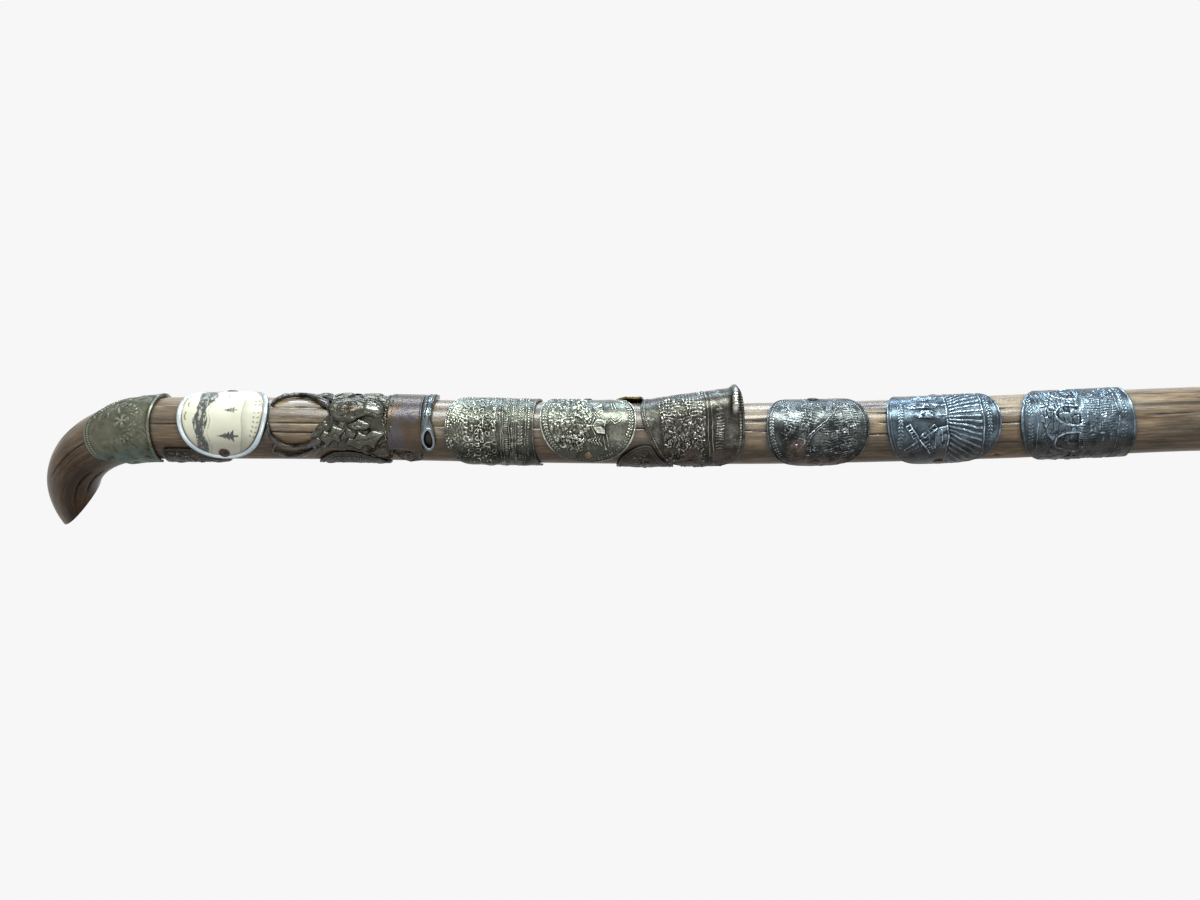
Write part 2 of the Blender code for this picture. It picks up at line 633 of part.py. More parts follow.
def stag_drawing():
    """The openwork badge's flat parts: its extent, body, and each raised part with its rise and taper.

    A stag's head with its muzzle towards the plaque lies among oak leaves, and its antlers close round an open oval.
    """
    extent = [(37.6, -14.0), (92.6, -14.0), (92.6, 22.0), (37.6, 22.0)]
    body = smooth_outline([(52.0, -4.8), (54.6, 0.6), (57.6, 4.0), (56.0, 8.4), (52.6, 13.0), (53.0, 19.0),
                           (60.0, 22.0), (70.0, 21.0), (78.5, 18.0), (79.5, 8.0), (79.5, -6.0), (79.0, -9.4),
                           (76.4, -11.4), (72.6, -10.4), (66.0, -7.8), (58.0, -7.6)], steps=2)
    plaque = smooth_outline([(77.6, 17.5), (76.9, 4.0), (77.2, -7.2), (88.8, -7.4), (88.2, 4.0), (89.0, 17.5)],
                            corners=(0, 2, 3, 5), steps=2)
    rail = smooth_outline([(87.6, 17.5), (87.4, 4.0), (87.6, -5.0), (90.0, -7.8), (92.4, -5.0), (92.2, 0.0),
                           (91.2, 4.0), (92.6, 17.5)], corners=(0, 7), steps=2)
    tail_leaf = smooth_outline([(78.0, -6.0), (80.0, -11.4), (83.6, -13.4), (87.4, -12.4), (87.0, -6.4)], steps=2)
    low_antler = bar([(37.6, 1.4), (39.4, -3.2), (43.6, -6.8), (49.4, -6.6), (55.0, -4.6)], (1.2, 1.7, 1.9, 2.2, 3.2))
    brow_tine = bar([(39.0, -9.2), (44.6, -11.4), (50.4, -9.6), (57.0, -6.0)], (1.2, 1.9, 2.2, 3.0))
    high_antler = bar([(38.2, 7.8), (41.4, 12.2), (46.4, 14.4), (51.4, 12.8), (57.0, 7.4)], (1.3, 2.0, 2.3, 2.8, 3.2))
    back_tine = bar([(40.0, 17.4), (46.0, 20.6), (52.0, 20.6), (57.0, 18.6)], (1.4, 2.2, 2.8, 3.2), steps=2)
    link = bar([(44.6, 13.4), (46.4, 17.0), (48.4, 20.8)], (2.2, 2.0, 2.2), steps=1)
    head = smooth_outline([(57.4, 8.0), (60.0, 10.4), (64.0, 11.4), (68.6, 9.4), (72.6, 9.0), (75.6, 6.8), (75.8, 4.2),
                           (73.0, 2.8), (69.4, 3.8), (66.4, 1.6), (62.0, 1.4), (59.0, 4.0)], steps=2)
    cheek = smooth_outline([(61.0, 5.8), (64.0, 8.4), (68.2, 6.6), (66.6, 3.6), (62.6, 3.2)], steps=2)
    ear = smooth_outline([(58.0, 9.6), (58.6, 13.2), (62.4, 16.0), (65.0, 14.6), (62.6, 10.6)], steps=2)
    oak_leaf = smooth_outline([(56.0, -3.4), (59.0, 0.4), (61.0, -0.6), (63.6, -1.4), (61.4, -4.0), (60.4, -6.0),
                               (57.4, -5.4)], steps=2)
    broad_leaf = smooth_outline([(63.0, -5.6), (65.0, -2.6), (68.4, -2.2), (71.2, -0.6), (76.0, -2.4), (73.0, -5.0),
                                 (71.6, -7.2), (67.0, -6.8)], steps=2)
    slot = smooth_outline([(89.3, -4.8), (90.2, -6.4), (91.2, -4.6), (91.0, -1.6), (90.0, -0.6), (89.3, -2.0)], steps=1)
    raised = [(plaque, 0.0005, 0.0003), (rail, 0.0008, 0.0005), (tail_leaf, STAG_LEAF_RISE, 0.0003),
              (low_antler, 0.0007, 0.0004), (brow_tine, 0.0004, 0.0004), (high_antler, 0.0008, 0.0004),
              (back_tine, 0.0006, 0.0004), (link, 0.0003, 0.0003), (head, 0.0010, 0.0006), (cheek, 0.0015, 0.0006),
              (ear, 0.0008, 0.0005), (oak_leaf, 0.0008, 0.0005), (broad_leaf, 0.0009, 0.0006)]
    return extent, body, slot, raised


def make_stag(wood, disc_guide):
    """The openwork badge is drawn as overlapping flat parts, joined, pierced and wrapped round the wood."""
    extent, body, slot, raised = stag_drawing()
    leaf_nail = (83.2, -10.0)
    back_nail = (65.0, 19.4)
    reach = smooth_outline([(37.6, -2.0), (40.0, -11.0), (46.0, -12.8), (56.0, -9.0), (66.0, -8.4), (72.0, -11.0),
                            (77.0, -12.2), (83.0, -14.0), (88.5, -13.0), (93.0, -6.0), (93.0, 20.0), (60.0, 23.0),
                            (40.0, 19.0)], steps=2)
    outlines = [extent, body, slot, [leaf_nail, back_nail], reach] + [part[0] for part in raised]
    body, slot, spots, reach, *shapes = fitted(outlines, STAG_LENGTH, STAG_WRAP)[1:]
    base = CLEARANCE + SHEET
    solids = []
    for number, (outline, (_, rise, taper)) in enumerate(zip(shapes, raised)):
        solids.append(slab(outline, -CLEARANCE * (number + 1) / len(shapes), base + rise, taper))
    flat = add_object("flat_stag", joined_flat(slab(body, -2 * CLEARANCE, base, SHEET / 3), solids))
    add_boolean(flat, add_object("flat_slot", slab(slot, -STAG_LENGTH, STAG_LENGTH)))
    half = STAG_LENGTH + STAG_WRAP
    block = slab([(-half, -half), (half, -half), (half, half), (-half, half)], CLEARANCE, half)
    add_boolean(flat, add_object("flat_block", block), "INTERSECT")
    badge = add_object("badge_stag", bend_round(baked(flat), STAG_MIDDLE, STAG_TURN), PEWTER)
    add_boolean(badge, disc_guide)
    places = nail_places(STAG_MIDDLE, STAG_TURN, spots)
    make_nails("nail_stag", places, SEAT + STAG_LEAF_RISE, COPPER, [badge, wood])
    return footprint("stag_footprint", reach, STAG_MIDDLE, STAG_TURN)


def make_sheet_badge(name, outline, middle, turn, look, ribs=(), lift_more=None):
    """A rimmed badge with raised ribs, drawn flat and wrapped round the wood."""
    flat = rimmed_sheet(outline, CLEARANCE)
    if ribs:
        base = CLEARANCE + SHEET
        flat = joined_flat(flat, [slab(rib, base / 2, base + rise, rise / 2) for rib, rise in ribs])
    return add_object(name, bend_round(flat, middle, turn, lift_more), look)


def end_nails(middle, turn, wrap, edge=NAIL_EDGE):
    return nail_places(middle, turn, [(0.0, edge - wrap / 2), (0.0, wrap / 2 - edge)])


def make_town(wood):
    outline = band_outline(TOWN_LENGTH, TOWN_WRAP, 0.0085, -0.0026, 0.0, -BAND_MORE_BEHIND / 2)
    far = TOWN_LENGTH / 2
    bands = [([(far - 0.0085, -TOWN_WRAP * 0.42), (far - 0.0077, -TOWN_WRAP * 0.42), (far - 0.0090, 0.0),
               (far - 0.0077, TOWN_WRAP * 0.42), (far - 0.0085, TOWN_WRAP * 0.42), (far - 0.0098, 0.0)], 0.0005)]
    badge = make_sheet_badge("badge_town", outline, TOWN_MIDDLE, TOWN_TURN, SILVER, bands)
    make_nails("nail_town", end_nails(TOWN_MIDDLE, TOWN_TURN, TOWN_WRAP), SEAT, COPPER, [badge, wood])


def make_round(wood):
    outline = oval(ROUND_LENGTH, ROUND_WRAP)
    badge = make_sheet_badge("badge_round", outline, ROUND_MIDDLE, ROUND_TURN, SILVER)
    make_nails("nail_round", end_nails(ROUND_MIDDLE, ROUND_TURN, ROUND_WRAP), SEAT, BRASS, [badge, wood])
    return footprint("round_footprint", outline, ROUND_MIDDLE, ROUND_TURN)


def flared_outline():
    drawn = [(161.5, 20.0), (159.3, 13.0), (159.0, 7.0), (160.0, 2.4), (162.0, -2.6), (164.8, -8.0), (168.8, -12.6),
             (175.0, -15.4), (182.0, -15.4), (187.4, -13.0), (190.8, -9.0), (192.3, -4.0), (192.6, 2.5), (192.3, 8.0),
             (191.3, 14.0), (190.6, 20.0)]
    return fitted([smooth_outline(drawn, corners=(0, 15), steps=2)], FLARED_LENGTH, FLARED_WRAP)[0]


def flare(along, around):
    """The sheet has sprung off the wood along its back edge, most of all at the far corner."""
    far = max(0.0, along / FLARED_LENGTH + 0.5)
    back = ease((around + 0.02 * FLARED_WRAP) / (0.30 * FLARED_WRAP))
    return FLARE_RISE * far * back


def make_flared(wood):
    outline = flared_outline()
    low = -FLARED_WRAP * 0.40
    high = FLARED_WRAP * 0.46
    near = FLARED_LENGTH * 0.12
    ribs = [([(near, low), (near + 0.0022, low), (near + 0.0014, high), (near - 0.0006, high)], 0.0005)]
    badge = make_sheet_badge("badge_flared", outline, FLARED_MIDDLE, FLARED_TURN, DARK_BRONZE, ribs, flare)
    low_nail = (-0.02 * FLARED_LENGTH, NAIL_EDGE - FLARED_WRAP / 2)
    high_nail = (-0.31 * FLARED_LENGTH, FLARED_WRAP / 2 - NAIL_EDGE)
    places = nail_places(FLARED_MIDDLE, FLARED_TURN, [low_nail, high_nail])
    make_nails("nail_flared", places, SEAT, COPPER, [badge, wood], missing=(1,))
    return footprint("flared_footprint", outline, FLARED_MIDDLE, FLARED_TURN)


def make_silver_oval(wood):
    outline = oval(SILVER_OVAL_LENGTH, SILVER_OVAL_WRAP)
    reach = SILVER_OVAL_WRAP * 0.33
    ribs = [([(-0.0012, -reach), (-0.0004, -reach), (0.0002, reach), (-0.0008, reach)], 0.0006)]
    badge = make_sheet_badge("badge_silver_oval", outline, SILVER_OVAL_MIDDLE, SILVER_OVAL_TURN, SILVER, ribs)
    places = end_nails(SILVER_OVAL_MIDDLE, SILVER_OVAL_TURN, SILVER_OVAL_WRAP)
    make_nails("nail_silver_oval", places, SEAT, COPPER, [badge, wood])


def make_tree_oval(wood):
    outline = oval(TREE_OVAL_LENGTH, TREE_OVAL_WRAP)
    near = -TREE_OVAL_LENGTH * 0.38
    far = TREE_OVAL_LENGTH * 0.08
    ribs = []
    for share in (-0.16, 0.0, 0.16):
        middle = share * TREE_OVAL_WRAP
        ribs.append((bar([(near, middle * 1.3), ((near + far) / 2, middle), (far, middle)],
                         (0.0024, 0.0016, 0.0016)), 0.0006))
    badge = make_sheet_badge("badge_tree_oval", outline, TREE_OVAL_MIDDLE, TREE_OVAL_TURN, PEWTER, ribs)
    places = end_nails(TREE_OVAL_MIDDLE, TREE_OVAL_TURN, TREE_OVAL_WRAP)
    make_nails("nail_tree_oval", places, SEAT, COPPER, [badge, wood])


def make_barrel(wood):
    outline = band_outline(BARREL_LENGTH, BARREL_WRAP, 0.0105, 0.0006, 0.0012, -BAND_MORE_BEHIND / 2)
    badge = make_sheet_badge("badge_barrel", outline, BARREL_MIDDLE, BARREL_TURN, PEWTER)
    places = end_nails(BARREL_MIDDLE, BARREL_TURN, BARREL_WRAP)
    make_nails("nail_barrel", places, SEAT, COPPER, [badge, wood])


def side_nails(middle, turn, length):
    return nail_places(middle, turn, [(NAIL_EDGE - length / 2, 0.0), (length / 2 - NAIL_EDGE, 0.0)])


def back_brass_lift(along, around):
    """The edge that faces the front has come off the wood a little."""
    return BACK_BRASS_RISE * ease((-0.22 * BACK_BRASS_WRAP - around) / (0.28 * BACK_BRASS_WRAP))


def make_hidden_badges(wood, disc_guide, stag_guide, round_guide, flared_guide):
    """Smaller badges on the far sides, tucked in beside the large ones."""
    outline = band_outline(UNDER_UPPER_LENGTH, UNDER_UPPER_WRAP, 0.0010, 0.0010)
    upper = make_sheet_badge("badge_under_upper", outline, UNDER_UPPER_DOWN, UNDER_UPPER_TURN, DARK_BRONZE)
    add_boolean(upper, disc_guide)
    places = side_nails(UNDER_UPPER_DOWN, UNDER_UPPER_TURN, UNDER_UPPER_LENGTH)
    make_nails("nail_under_upper", places, SEAT, COPPER, [upper, wood])

    outline = oval(UNDER_ROUND_DIAMETER, UNDER_ROUND_DIAMETER)
    lower = make_sheet_badge("badge_under_round", outline, UNDER_ROUND_DOWN, UNDER_ROUND_TURN, PEWTER)
    add_boolean(lower, stag_guide)
    places = side_nails(UNDER_ROUND_DOWN, UNDER_ROUND_TURN, UNDER_ROUND_DIAMETER)
    make_nails("nail_under_round", places, SEAT, COPPER, [lower, wood])

    drawn = [(-9.5, -13.0), (9.5, -13.0), (9.5, 1.0), (7.4, 8.8), (0.0, 13.0), (-7.4, 8.8), (-9.5, 1.0)]
    outline = fitted([smooth_outline(drawn, corners=(0, 1))], UNDER_ARCH_LENGTH, UNDER_ARCH_WRAP)[0]
    arch = make_sheet_badge("badge_under_arch", outline, UNDER_ARCH_DOWN, UNDER_ARCH_TURN, DARK_BRONZE)
    add_boolean(arch, round_guide)
    add_boolean(arch, flared_guide)
    low = (0.0, NAIL_EDGE - UNDER_ARCH_WRAP / 2)
    places = nail_places(UNDER_ARCH_DOWN, UNDER_ARCH_TURN, [low, (0.0, 0.004)])
    make_nails("nail_under_arch", places, SEAT, COPPER, [arch, wood])

    outline = oval(BACK_BRASS_LENGTH, BACK_BRASS_WRAP)
    back = make_sheet_badge("badge_back_brass", outline, BACK_BRASS_DOWN, BACK_BRASS_TURN, BRASS,
                            lift_more=back_brass_lift)
    add_boolean(back, round_guide)
    add_boolean(back, flared_guide)
    offsets = [(0.0, -0.12 * BACK_BRASS_WRAP), (0.0, BACK_BRASS_WRAP / 2 - NAIL_EDGE)]
    places = nail_places(BACK_BRASS_DOWN, BACK_BRASS_TURN, offsets)
    make_nails("nail_back_brass", places, SEAT, COPPER, [back, wood])


def make_foot(wood):
    """Ferrule, spike and the small nail that pins the ferrule to the wood."""
    ferrule = make_ferrule()
    make_spike()
    bore_for_spike(wood)
    down = MOUTH_DOWN + PIN_BELOW_MOUTH
    taper = (FOOT_DIAMETER / 2 - TENON_END_RADIUS) / (STRAIGHT_LENGTH - MOUTH_DOWN)
    seat = 2 * CLEARANCE + FERRULE_WALL + taper * NAIL_HEAD_DIAMETER / 2
    make_nails("ferrule_pin", [(down, 0.0)], seat, STEEL, [ferrule, wood])


clear_scene()
WOOD = material("varnished wood", (0.30, 0.17, 0.08), 0.35, 0.0)
STEEL = material("worn steel", (0.45, 0.44, 0.42), 0.40, 1.0)
BRONZE = material("olive bronze", (0.27, 0.25, 0.17), 0.50, 1.0)
DARK_BRONZE = material("dark bronze", (0.22, 0.17, 0.13), 0.45, 1.0)
PEWTER = material("blue-grey pewter", (0.32, 0.33, 0.33), 0.42, 1.0)
SILVER = material("tarnished silver", (0.50, 0.48, 0.40), 0.35, 1.0)
TIN = material("pale tin", (0.62, 0.68, 0.72), 0.35, 1.0)
PRINT = material("cream print", (0.80, 0.78, 0.64), 0.30, 0.0)
COPPER = material("copper nail", (0.42, 0.26, 0.20), 0.45, 1.0)
BRASS = material("brass", (0.55, 0.45, 0.24), 0.40, 1.0)

STICK = make_stick()
make_crook_shield(STICK)
DISC_GUIDE = make_disc(STICK)
STAG_GUIDE = make_stag(STICK, DISC_GUIDE)
make_town(STICK)
ROUND_GUIDE = make_round(STICK)
FLARED_GUIDE = make_flared(STICK)
make_silver_oval(STICK)
make_tree_oval(STICK)
make_barrel(STICK)
make_hidden_badges(STICK, DISC_GUIDE, STAG_GUIDE, ROUND_GUIDE, FLARED_GUIDE)
make_foot(STICK)
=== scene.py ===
"""Looks of the decorated walking stick: grained wood, pressed badges with their relief, nails and the foot.

The badges are drawn flat and wrapped round the wood. "Down" is the distance below the start of the bend along the
stick's middle line, "turn" is an angle from the badges' front line, and "lift" is the height above the wood. The
drawings are in millimetres, as (along, around): along is down, and around is measured from the front line.
"""

import math

import bmesh
import bpy
import numpy as np
from bpy.props import FloatProperty, FloatVectorProperty, PointerProperty
from mathutils import Matrix, Vector


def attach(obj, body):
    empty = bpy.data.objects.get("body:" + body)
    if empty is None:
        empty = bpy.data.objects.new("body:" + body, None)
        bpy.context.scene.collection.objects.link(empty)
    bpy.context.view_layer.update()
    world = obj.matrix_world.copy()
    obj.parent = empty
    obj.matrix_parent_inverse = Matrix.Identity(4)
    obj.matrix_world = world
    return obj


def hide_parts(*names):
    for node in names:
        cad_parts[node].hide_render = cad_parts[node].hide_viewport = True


bl_info = {
    "name": "Decorated walking stick",
    "version": (1, 0, 0),
    "blender": (4, 5, 0),
    "location": "3D Viewport > Sidebar > Walking Stick",
    "description": "Builds the visible pieces of a decorated walking stick round its packed frame",
    "category": "Object",
}

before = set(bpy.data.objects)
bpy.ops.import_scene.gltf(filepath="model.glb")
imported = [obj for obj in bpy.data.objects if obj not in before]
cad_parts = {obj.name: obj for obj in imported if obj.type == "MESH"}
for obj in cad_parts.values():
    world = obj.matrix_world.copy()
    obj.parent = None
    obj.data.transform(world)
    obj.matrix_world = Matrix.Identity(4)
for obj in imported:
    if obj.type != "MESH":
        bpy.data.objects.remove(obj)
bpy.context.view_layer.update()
MM = 0.001

# The stick's own sizes, in metres, as the solids have them
CLEARANCE = 0.0003
SHEET = 0.0006
STRAIGHT_LENGTH = 0.8118
BEND_HEIGHT = 0.8279
GRIP_DIAMETER = 0.0206
NECK_DIAMETER = 0.0203
NECK_DOWN = 0.180
BELLY_DIAMETER = 0.0213
BELLY_DOWN = 0.330
FOOT_DIAMETER = 0.0166
SWAY = 0.0039
SWAY_LENGTH = 0.400
CROOK_RADIUS = 0.042
CROOK_END_DIAMETER = 0.0160
CROOK_ANGLE = math.radians(96)
CROOK_HEEL_ANGLE = math.radians(66.5)
MITRE_ROUNDING = 0.0012
FRONT_TURN = math.radians(50)
SPIKE_REACH = 0.0140
SPIKE_TIP_DIAMETER = 0.0036
SPIKE_NECK_DIAMETER = 0.0062
SPIKE_COLLAR_DIAMETER = 0.0090
SPIKE_SHANK_DIAMETER = 0.0040
SPIKE_IN_WOOD = 0.026
FERRULE_FOOT = SPIKE_REACH + CLEARANCE
FERRULE_LENGTH = 0.045
FERRULE_END_DIAMETER = 0.0130
FERRULE_WALL = 0.0008
FERRULE_FLOOR = 0.0015
FERRULE_BEAD = 0.0007
FERRULE_MOUTH = FERRULE_FOOT + FERRULE_LENGTH
MOUTH_DOWN = BEND_HEIGHT - FERRULE_MOUTH
TENON_END_RADIUS = FERRULE_END_DIAMETER / 2 - FERRULE_WALL - CLEARANCE


# Places on the stick, worked out for whole arrays of points at once


def unit(value):
    return np.clip(value, 0.0, 1.0)


def ease(share):
    share = unit(share)
    return share * share * (3 - 2 * share)


def rise(value, start, soft):
    """0 up to the start and 1 beyond it, with a soft step of that length."""
    return ease((value - start) / soft)


def fall(value, end, soft):
    """1 before the end and 0 from the end on, with a soft step of that length."""
    return ease((end - value) / soft)


def change(before, after, share):
    return before + (after - before) * share


def wood_radius(down):
    """The wood's radius on the crook, the neck, the belly, the long taper and the end inside the ferrule."""
    down = np.asarray(down, float)
    crook = change(GRIP_DIAMETER, CROOK_END_DIAMETER, np.minimum(1.0, -down / (CROOK_RADIUS * CROOK_ANGLE)))
    neck = change(GRIP_DIAMETER, NECK_DIAMETER, ease(down / NECK_DOWN))
    belly = change(NECK_DIAMETER, BELLY_DIAMETER, ease((down - NECK_DOWN) / (BELLY_DOWN - NECK_DOWN)))
    shaft = change(BELLY_DIAMETER, FOOT_DIAMETER, ease((down - BELLY_DOWN) / (MOUTH_DOWN - BELLY_DOWN)))
    share = unit((down - MOUTH_DOWN) / (STRAIGHT_LENGTH - MOUTH_DOWN))
    return np.select([down < 0, down < NECK_DOWN, down < BELLY_DOWN, down < MOUTH_DOWN],
                     [crook, neck, belly, shaft], change(FOOT_DIAMETER, 2 * TENON_END_RADIUS, share)) / 2


def on_stick(down, turn, lift):
    """Points on the stick, one row each, from arrays of places."""
    down, turn, lift = np.broadcast_arrays(np.asarray(down, float), turn, lift)
    bend = np.maximum(0.0, -down) / CROOK_RADIUS
    sway = SWAY * (1 - np.cos(2 * math.pi * unit(down / SWAY_LENGTH))) / 2
    reach = wood_radius(down) + lift
    outwards = np.sin(FRONT_TURN + turn) * reach
    sideways = -np.cos(FRONT_TURN + turn) * reach
    x = -CROOK_RADIUS + CROOK_RADIUS * np.cos(bend) - sway * math.cos(FRONT_TURN) + outwards * np.cos(bend)
    y = -sway * math.sin(FRONT_TURN) + sideways
    z = BEND_HEIGHT - np.maximum(0.0, down) + (CROOK_RADIUS + outwards) * np.sin(bend)
    return np.stack([x, y, z], axis=-1)


def between(before, here, there, after, share):
    """A point of the smooth curve that runs from here to there."""
    return (here * 2 + (there - before) * share
            + (before * 2 - here * 5 + there * 4 - after) * share ** 2
            + (here * 3 - before - there * 3 + after) * share ** 3) / 2


def smooth_outline(points, corners=(), steps=8):
    """A closed smooth curve through the points, sharp at the numbered corners and straight between two of them."""
    drawn = []
    count = len(points)
    for index in range(count):
        here = Vector(points[index])
        there = Vector(points[(index + 1) % count])
        before = 2 * here - there if index in corners else Vector(points[index - 1])
        after = 2 * there - here if (index + 1) % count in corners else Vector(points[(index + 2) % count])
        for step in range(steps):
            drawn.append(tuple(between(before, here, there, after, step / steps)))
    return drawn


def smooth_course(points, steps=6):
    """An open smooth curve through the points. They may carry widths and heights too."""
    rows = [np.array(point, float) for point in points]
    drawn = []
    for index in range(len(rows) - 1):
        before = rows[max(0, index - 1)]
        after = rows[min(len(rows) - 1, index + 2)]
        drawn += [between(before, rows[index], rows[index + 1], after, step / steps) for step in range(steps)]
    return drawn + [rows[-1]]


OVAL_STEPS = 120


def oval(length, wrap):
    turns = [2 * math.pi * step / OVAL_STEPS for step in range(OVAL_STEPS)]
    return [(length / 2 * math.cos(turn), wrap / 2 * math.sin(turn)) for turn in turns]


def band_outline(length, wrap, near_bulge, far_bulge, slant=0.0, middle=0.0, steps=48):
    """A sheet with straight ends round the stick. Its near and far edges bulge or hollow about a middle."""
    near = []
    far = []
    for step in range(steps + 1):
        around = wrap * (step / steps - 0.5)
        share = min(1.0, (around - middle) / (wrap / 2 + middle))
        near.append((near_bulge * share ** 2 - length / 2, around))
        far.append((length / 2 - far_bulge * share ** 2 - slant * share, around))
    ends = [(far[0][0] + (near[0][0] - far[0][0]) * k / steps, -wrap / 2) for k in range(1, steps)]
    tops = [(near[-1][0] + (far[-1][0] - near[-1][0]) * k / steps, wrap / 2) for k in range(1, steps)]
    return near + tops + far[::-1] + ends


def fitted(outline, length, wrap):
    """The outline moved and scaled so that it spans the length and the wrap about zero."""
    points = np.array(outline)
    low, high = points.min(0), points.max(0)
    return [tuple(row) for row in (points - (low + high) / 2) * np.array([length, wrap]) / (high - low)]


class Badge:
    """Where a sheet lies on the stick: its outline in metres about its middle, and that middle's place.

    It is a band if it has bulges, follows the points if it has them, and is an oval otherwise.
    """

    def __init__(self, length, wrap, middle, turn_degrees, bulges=None, points=None, about=None):
        self.length = length
        self.wrap = wrap
        self.outline = (band_outline(length, wrap, *bulges) if bulges
                        else fitted(points, length, wrap) if points else oval(length, wrap))
        self.middle = middle
        self.turn = math.radians(turn_degrees)
        self.radius = float(wood_radius(middle)) + CLEARANCE + SHEET
        self.about = about or (middle / MM, self.turn * self.radius / MM)

    def drawn(self):
        """The outline in the drawing's millimetres."""
        return [(self.about[0] + a / MM, self.about[1] + v / MM) for a, v in self.outline]

    def place(self, along, around, lift):
        """Points on the stick for arrays of drawing places, with the lift in metres."""
        return on_stick(self.middle + (along - self.about[0]) * MM,
                        self.turn + (around - self.about[1]) * MM / self.radius, lift)


CROOK_SHIELD = Badge(0.0222, 0.0420, -0.0097, 12, points=smooth_outline(
    [(1.4, 23.0), (-6.0, 23.0), (-14.5, 11.0), (-19.3, 6.6), (-20.8, 0.5), (-20.6, -6.5), (-17.8, -9.8),
     (-13.6, -12.6), (-12.4, -17.0), (-8.0, -19.0), (-4.0, -17.0), (0.4, -17.0), (0.0, -8.0), (-0.4, 2.5),
     (0.1, 8.0), (0.5, 12.5), (1.2, 17.0)], corners=(0, 1, 11)))
DISC = Badge(0.0296, 0.0334, 0.0232, 25)
STAG = Badge(0.0550, 0.0360, 0.0649, 22, bulges=(0.0, 0.0), about=(65.1, 4.0))
TOWN = Badge(0.0288, 0.0460, 0.1096, 24, bulges=(0.0085, -0.0026, 0.0, -0.0040))
ROUND = Badge(0.0315, 0.0330, 0.14175, 25)
FLARED = Badge(0.0336, 0.0355, 0.1758, 11, points=smooth_outline(
    [(161.5, 20.0), (159.3, 13.0), (159.0, 7.0), (160.0, 2.4), (162.0, -2.6), (164.8, -8.0), (168.8, -12.6),
     (175.0, -15.4), (182.0, -15.4), (187.4, -13.0), (190.8, -9.0), (192.3, -4.0), (192.6, 2.5), (192.3, 8.0),
     (191.3, 14.0), (190.6, 20.0)], corners=(0, 15)))
SILVER_OVAL = Badge(0.0334, 0.0360, 0.2163, 8)
TREE_OVAL = Badge(0.0370, 0.0420, 0.2572, 15)
BARREL = Badge(0.0372, 0.0460, 0.3005, 24, bulges=(0.0105, 0.0006, 0.0012, -0.0040))
UNDER_UPPER = Badge(0.0200, 0.0240, 0.0120, -101, bulges=(0.0010, 0.0010))
UNDER_ROUND = Badge(0.0240, 0.0240, 0.0640, -101)
UNDER_ARCH = Badge(0.0190, 0.0260, 0.1605, -89, points=smooth_outline(
    [(-9.5, -13.0), (9.5, -13.0), (9.5, 1.0), (7.4, 8.8), (0.0, 13.0), (-7.4, 8.8), (-9.5, 1.0)], corners=(0, 1)))
BACK_BRASS = Badge(0.0170, 0.0230, 0.1575, 136)
# The badges without openings, along whose edges the wood is drawn dark with soiling and painted shadow
SOLID_BADGES = (CROOK_SHIELD, DISC, TOWN, ROUND, FLARED, SILVER_OVAL, TREE_OVAL, BARREL, UNDER_UPPER,
                UNDER_ROUND, UNDER_ARCH, BACK_BRASS)


# Noise, from seeded tables so that each run is the same


def value_noise(along, around, size, seed):
    """Smooth noise from 0 to 1 with lumps of about that size, in the drawing's millimetres."""
    table = np.random.RandomState(seed).rand(64, 64)
    a, v = along / size, around / size
    column, row = np.floor(a).astype(int), np.floor(v).astype(int)
    share_a, share_v = ease(a - column), ease(v - row)
    corner = [[table[(column + i) % 64, (row + j) % 64] for j in (0, 1)] for i in (0, 1)]
    low = corner[0][0] * (1 - share_a) + corner[1][0] * share_a
    high = corner[0][1] * (1 - share_a) + corner[1][1] * share_a
    return low * (1 - share_v) + high * share_v


def layered_noise(along, around, size, seed, layers=3):
    total = np.zeros(np.shape(along))
    for layer in range(layers):
        total += value_noise(along, around, size / 2 ** layer, seed + layer) / 2 ** (layer + 1)
    return total / (1 - 0.5 ** layers)


def cells(along, around, length, width, seed):
    """For each of the nine cells near every point: how far off its middle is, both ways, and its own level."""
    table = np.random.RandomState(seed).rand(64, 64, 3)
    a, v = along / length, around / width
    column, row = np.floor(a).astype(int), np.floor(v).astype(int)
    for i in (-1, 0, 1):
        for j in (-1, 0, 1):
            cell = table[(column + i) % 64, (row + j) % 64]
            yield a - column - i - cell[..., 0], v - row - j - cell[..., 1], cell[..., 2]


def pebble_field(along, around, size, seed):
    """Rounded lumps of mixed sizes, packed side by side: up to 1 on a lump's top and 0 between the lumps."""
    lump = np.zeros(np.shape(along))
    for gap_a, gap_v, level in cells(along, around, size, size, seed):
        gap = np.hypot(gap_a, gap_v) / (0.30 + 0.36 * level)
        lump = np.maximum(lump, (0.35 + 0.65 * level) * np.sqrt(unit(1 - gap ** 2)))
    return lump


def block_field(along, around, length, width, seed):
    """Uneven blocks side by side: how far the nearest joint is, as a share of a block, and each block's level."""
    nearest = np.full(np.shape(along), 9.0)
    second = np.full(np.shape(along), 9.0)
    level = np.zeros(np.shape(along))
    for gap_a, gap_v, own in cells(along, around, length, width, seed):
        gap = np.maximum(np.abs(gap_a), np.abs(gap_v))
        closer = gap < nearest
        second = np.where(closer, nearest, np.minimum(second, gap))
        nearest = np.where(closer, gap, nearest)
        level = np.where(closer, own, level)
    return second - nearest, level


def scattered(seed, count, low, high, length, lean, spread):
    """Short strokes at random places between two corners: each is a start and an end."""
    pick = np.random.RandomState(seed)
    strokes = []
    for _ in range(count):
        along, around = pick.uniform(low[0], high[0]), pick.uniform(low[1], high[1])
        turn = lean + spread * pick.uniform(-1, 1)
        half = length * pick.uniform(0.4, 1.0) / 2
        step = (half * math.cos(turn), half * math.sin(turn))
        strokes.append([(along - step[0], around - step[1]), (along + step[0], around + step[1])])
    return strokes


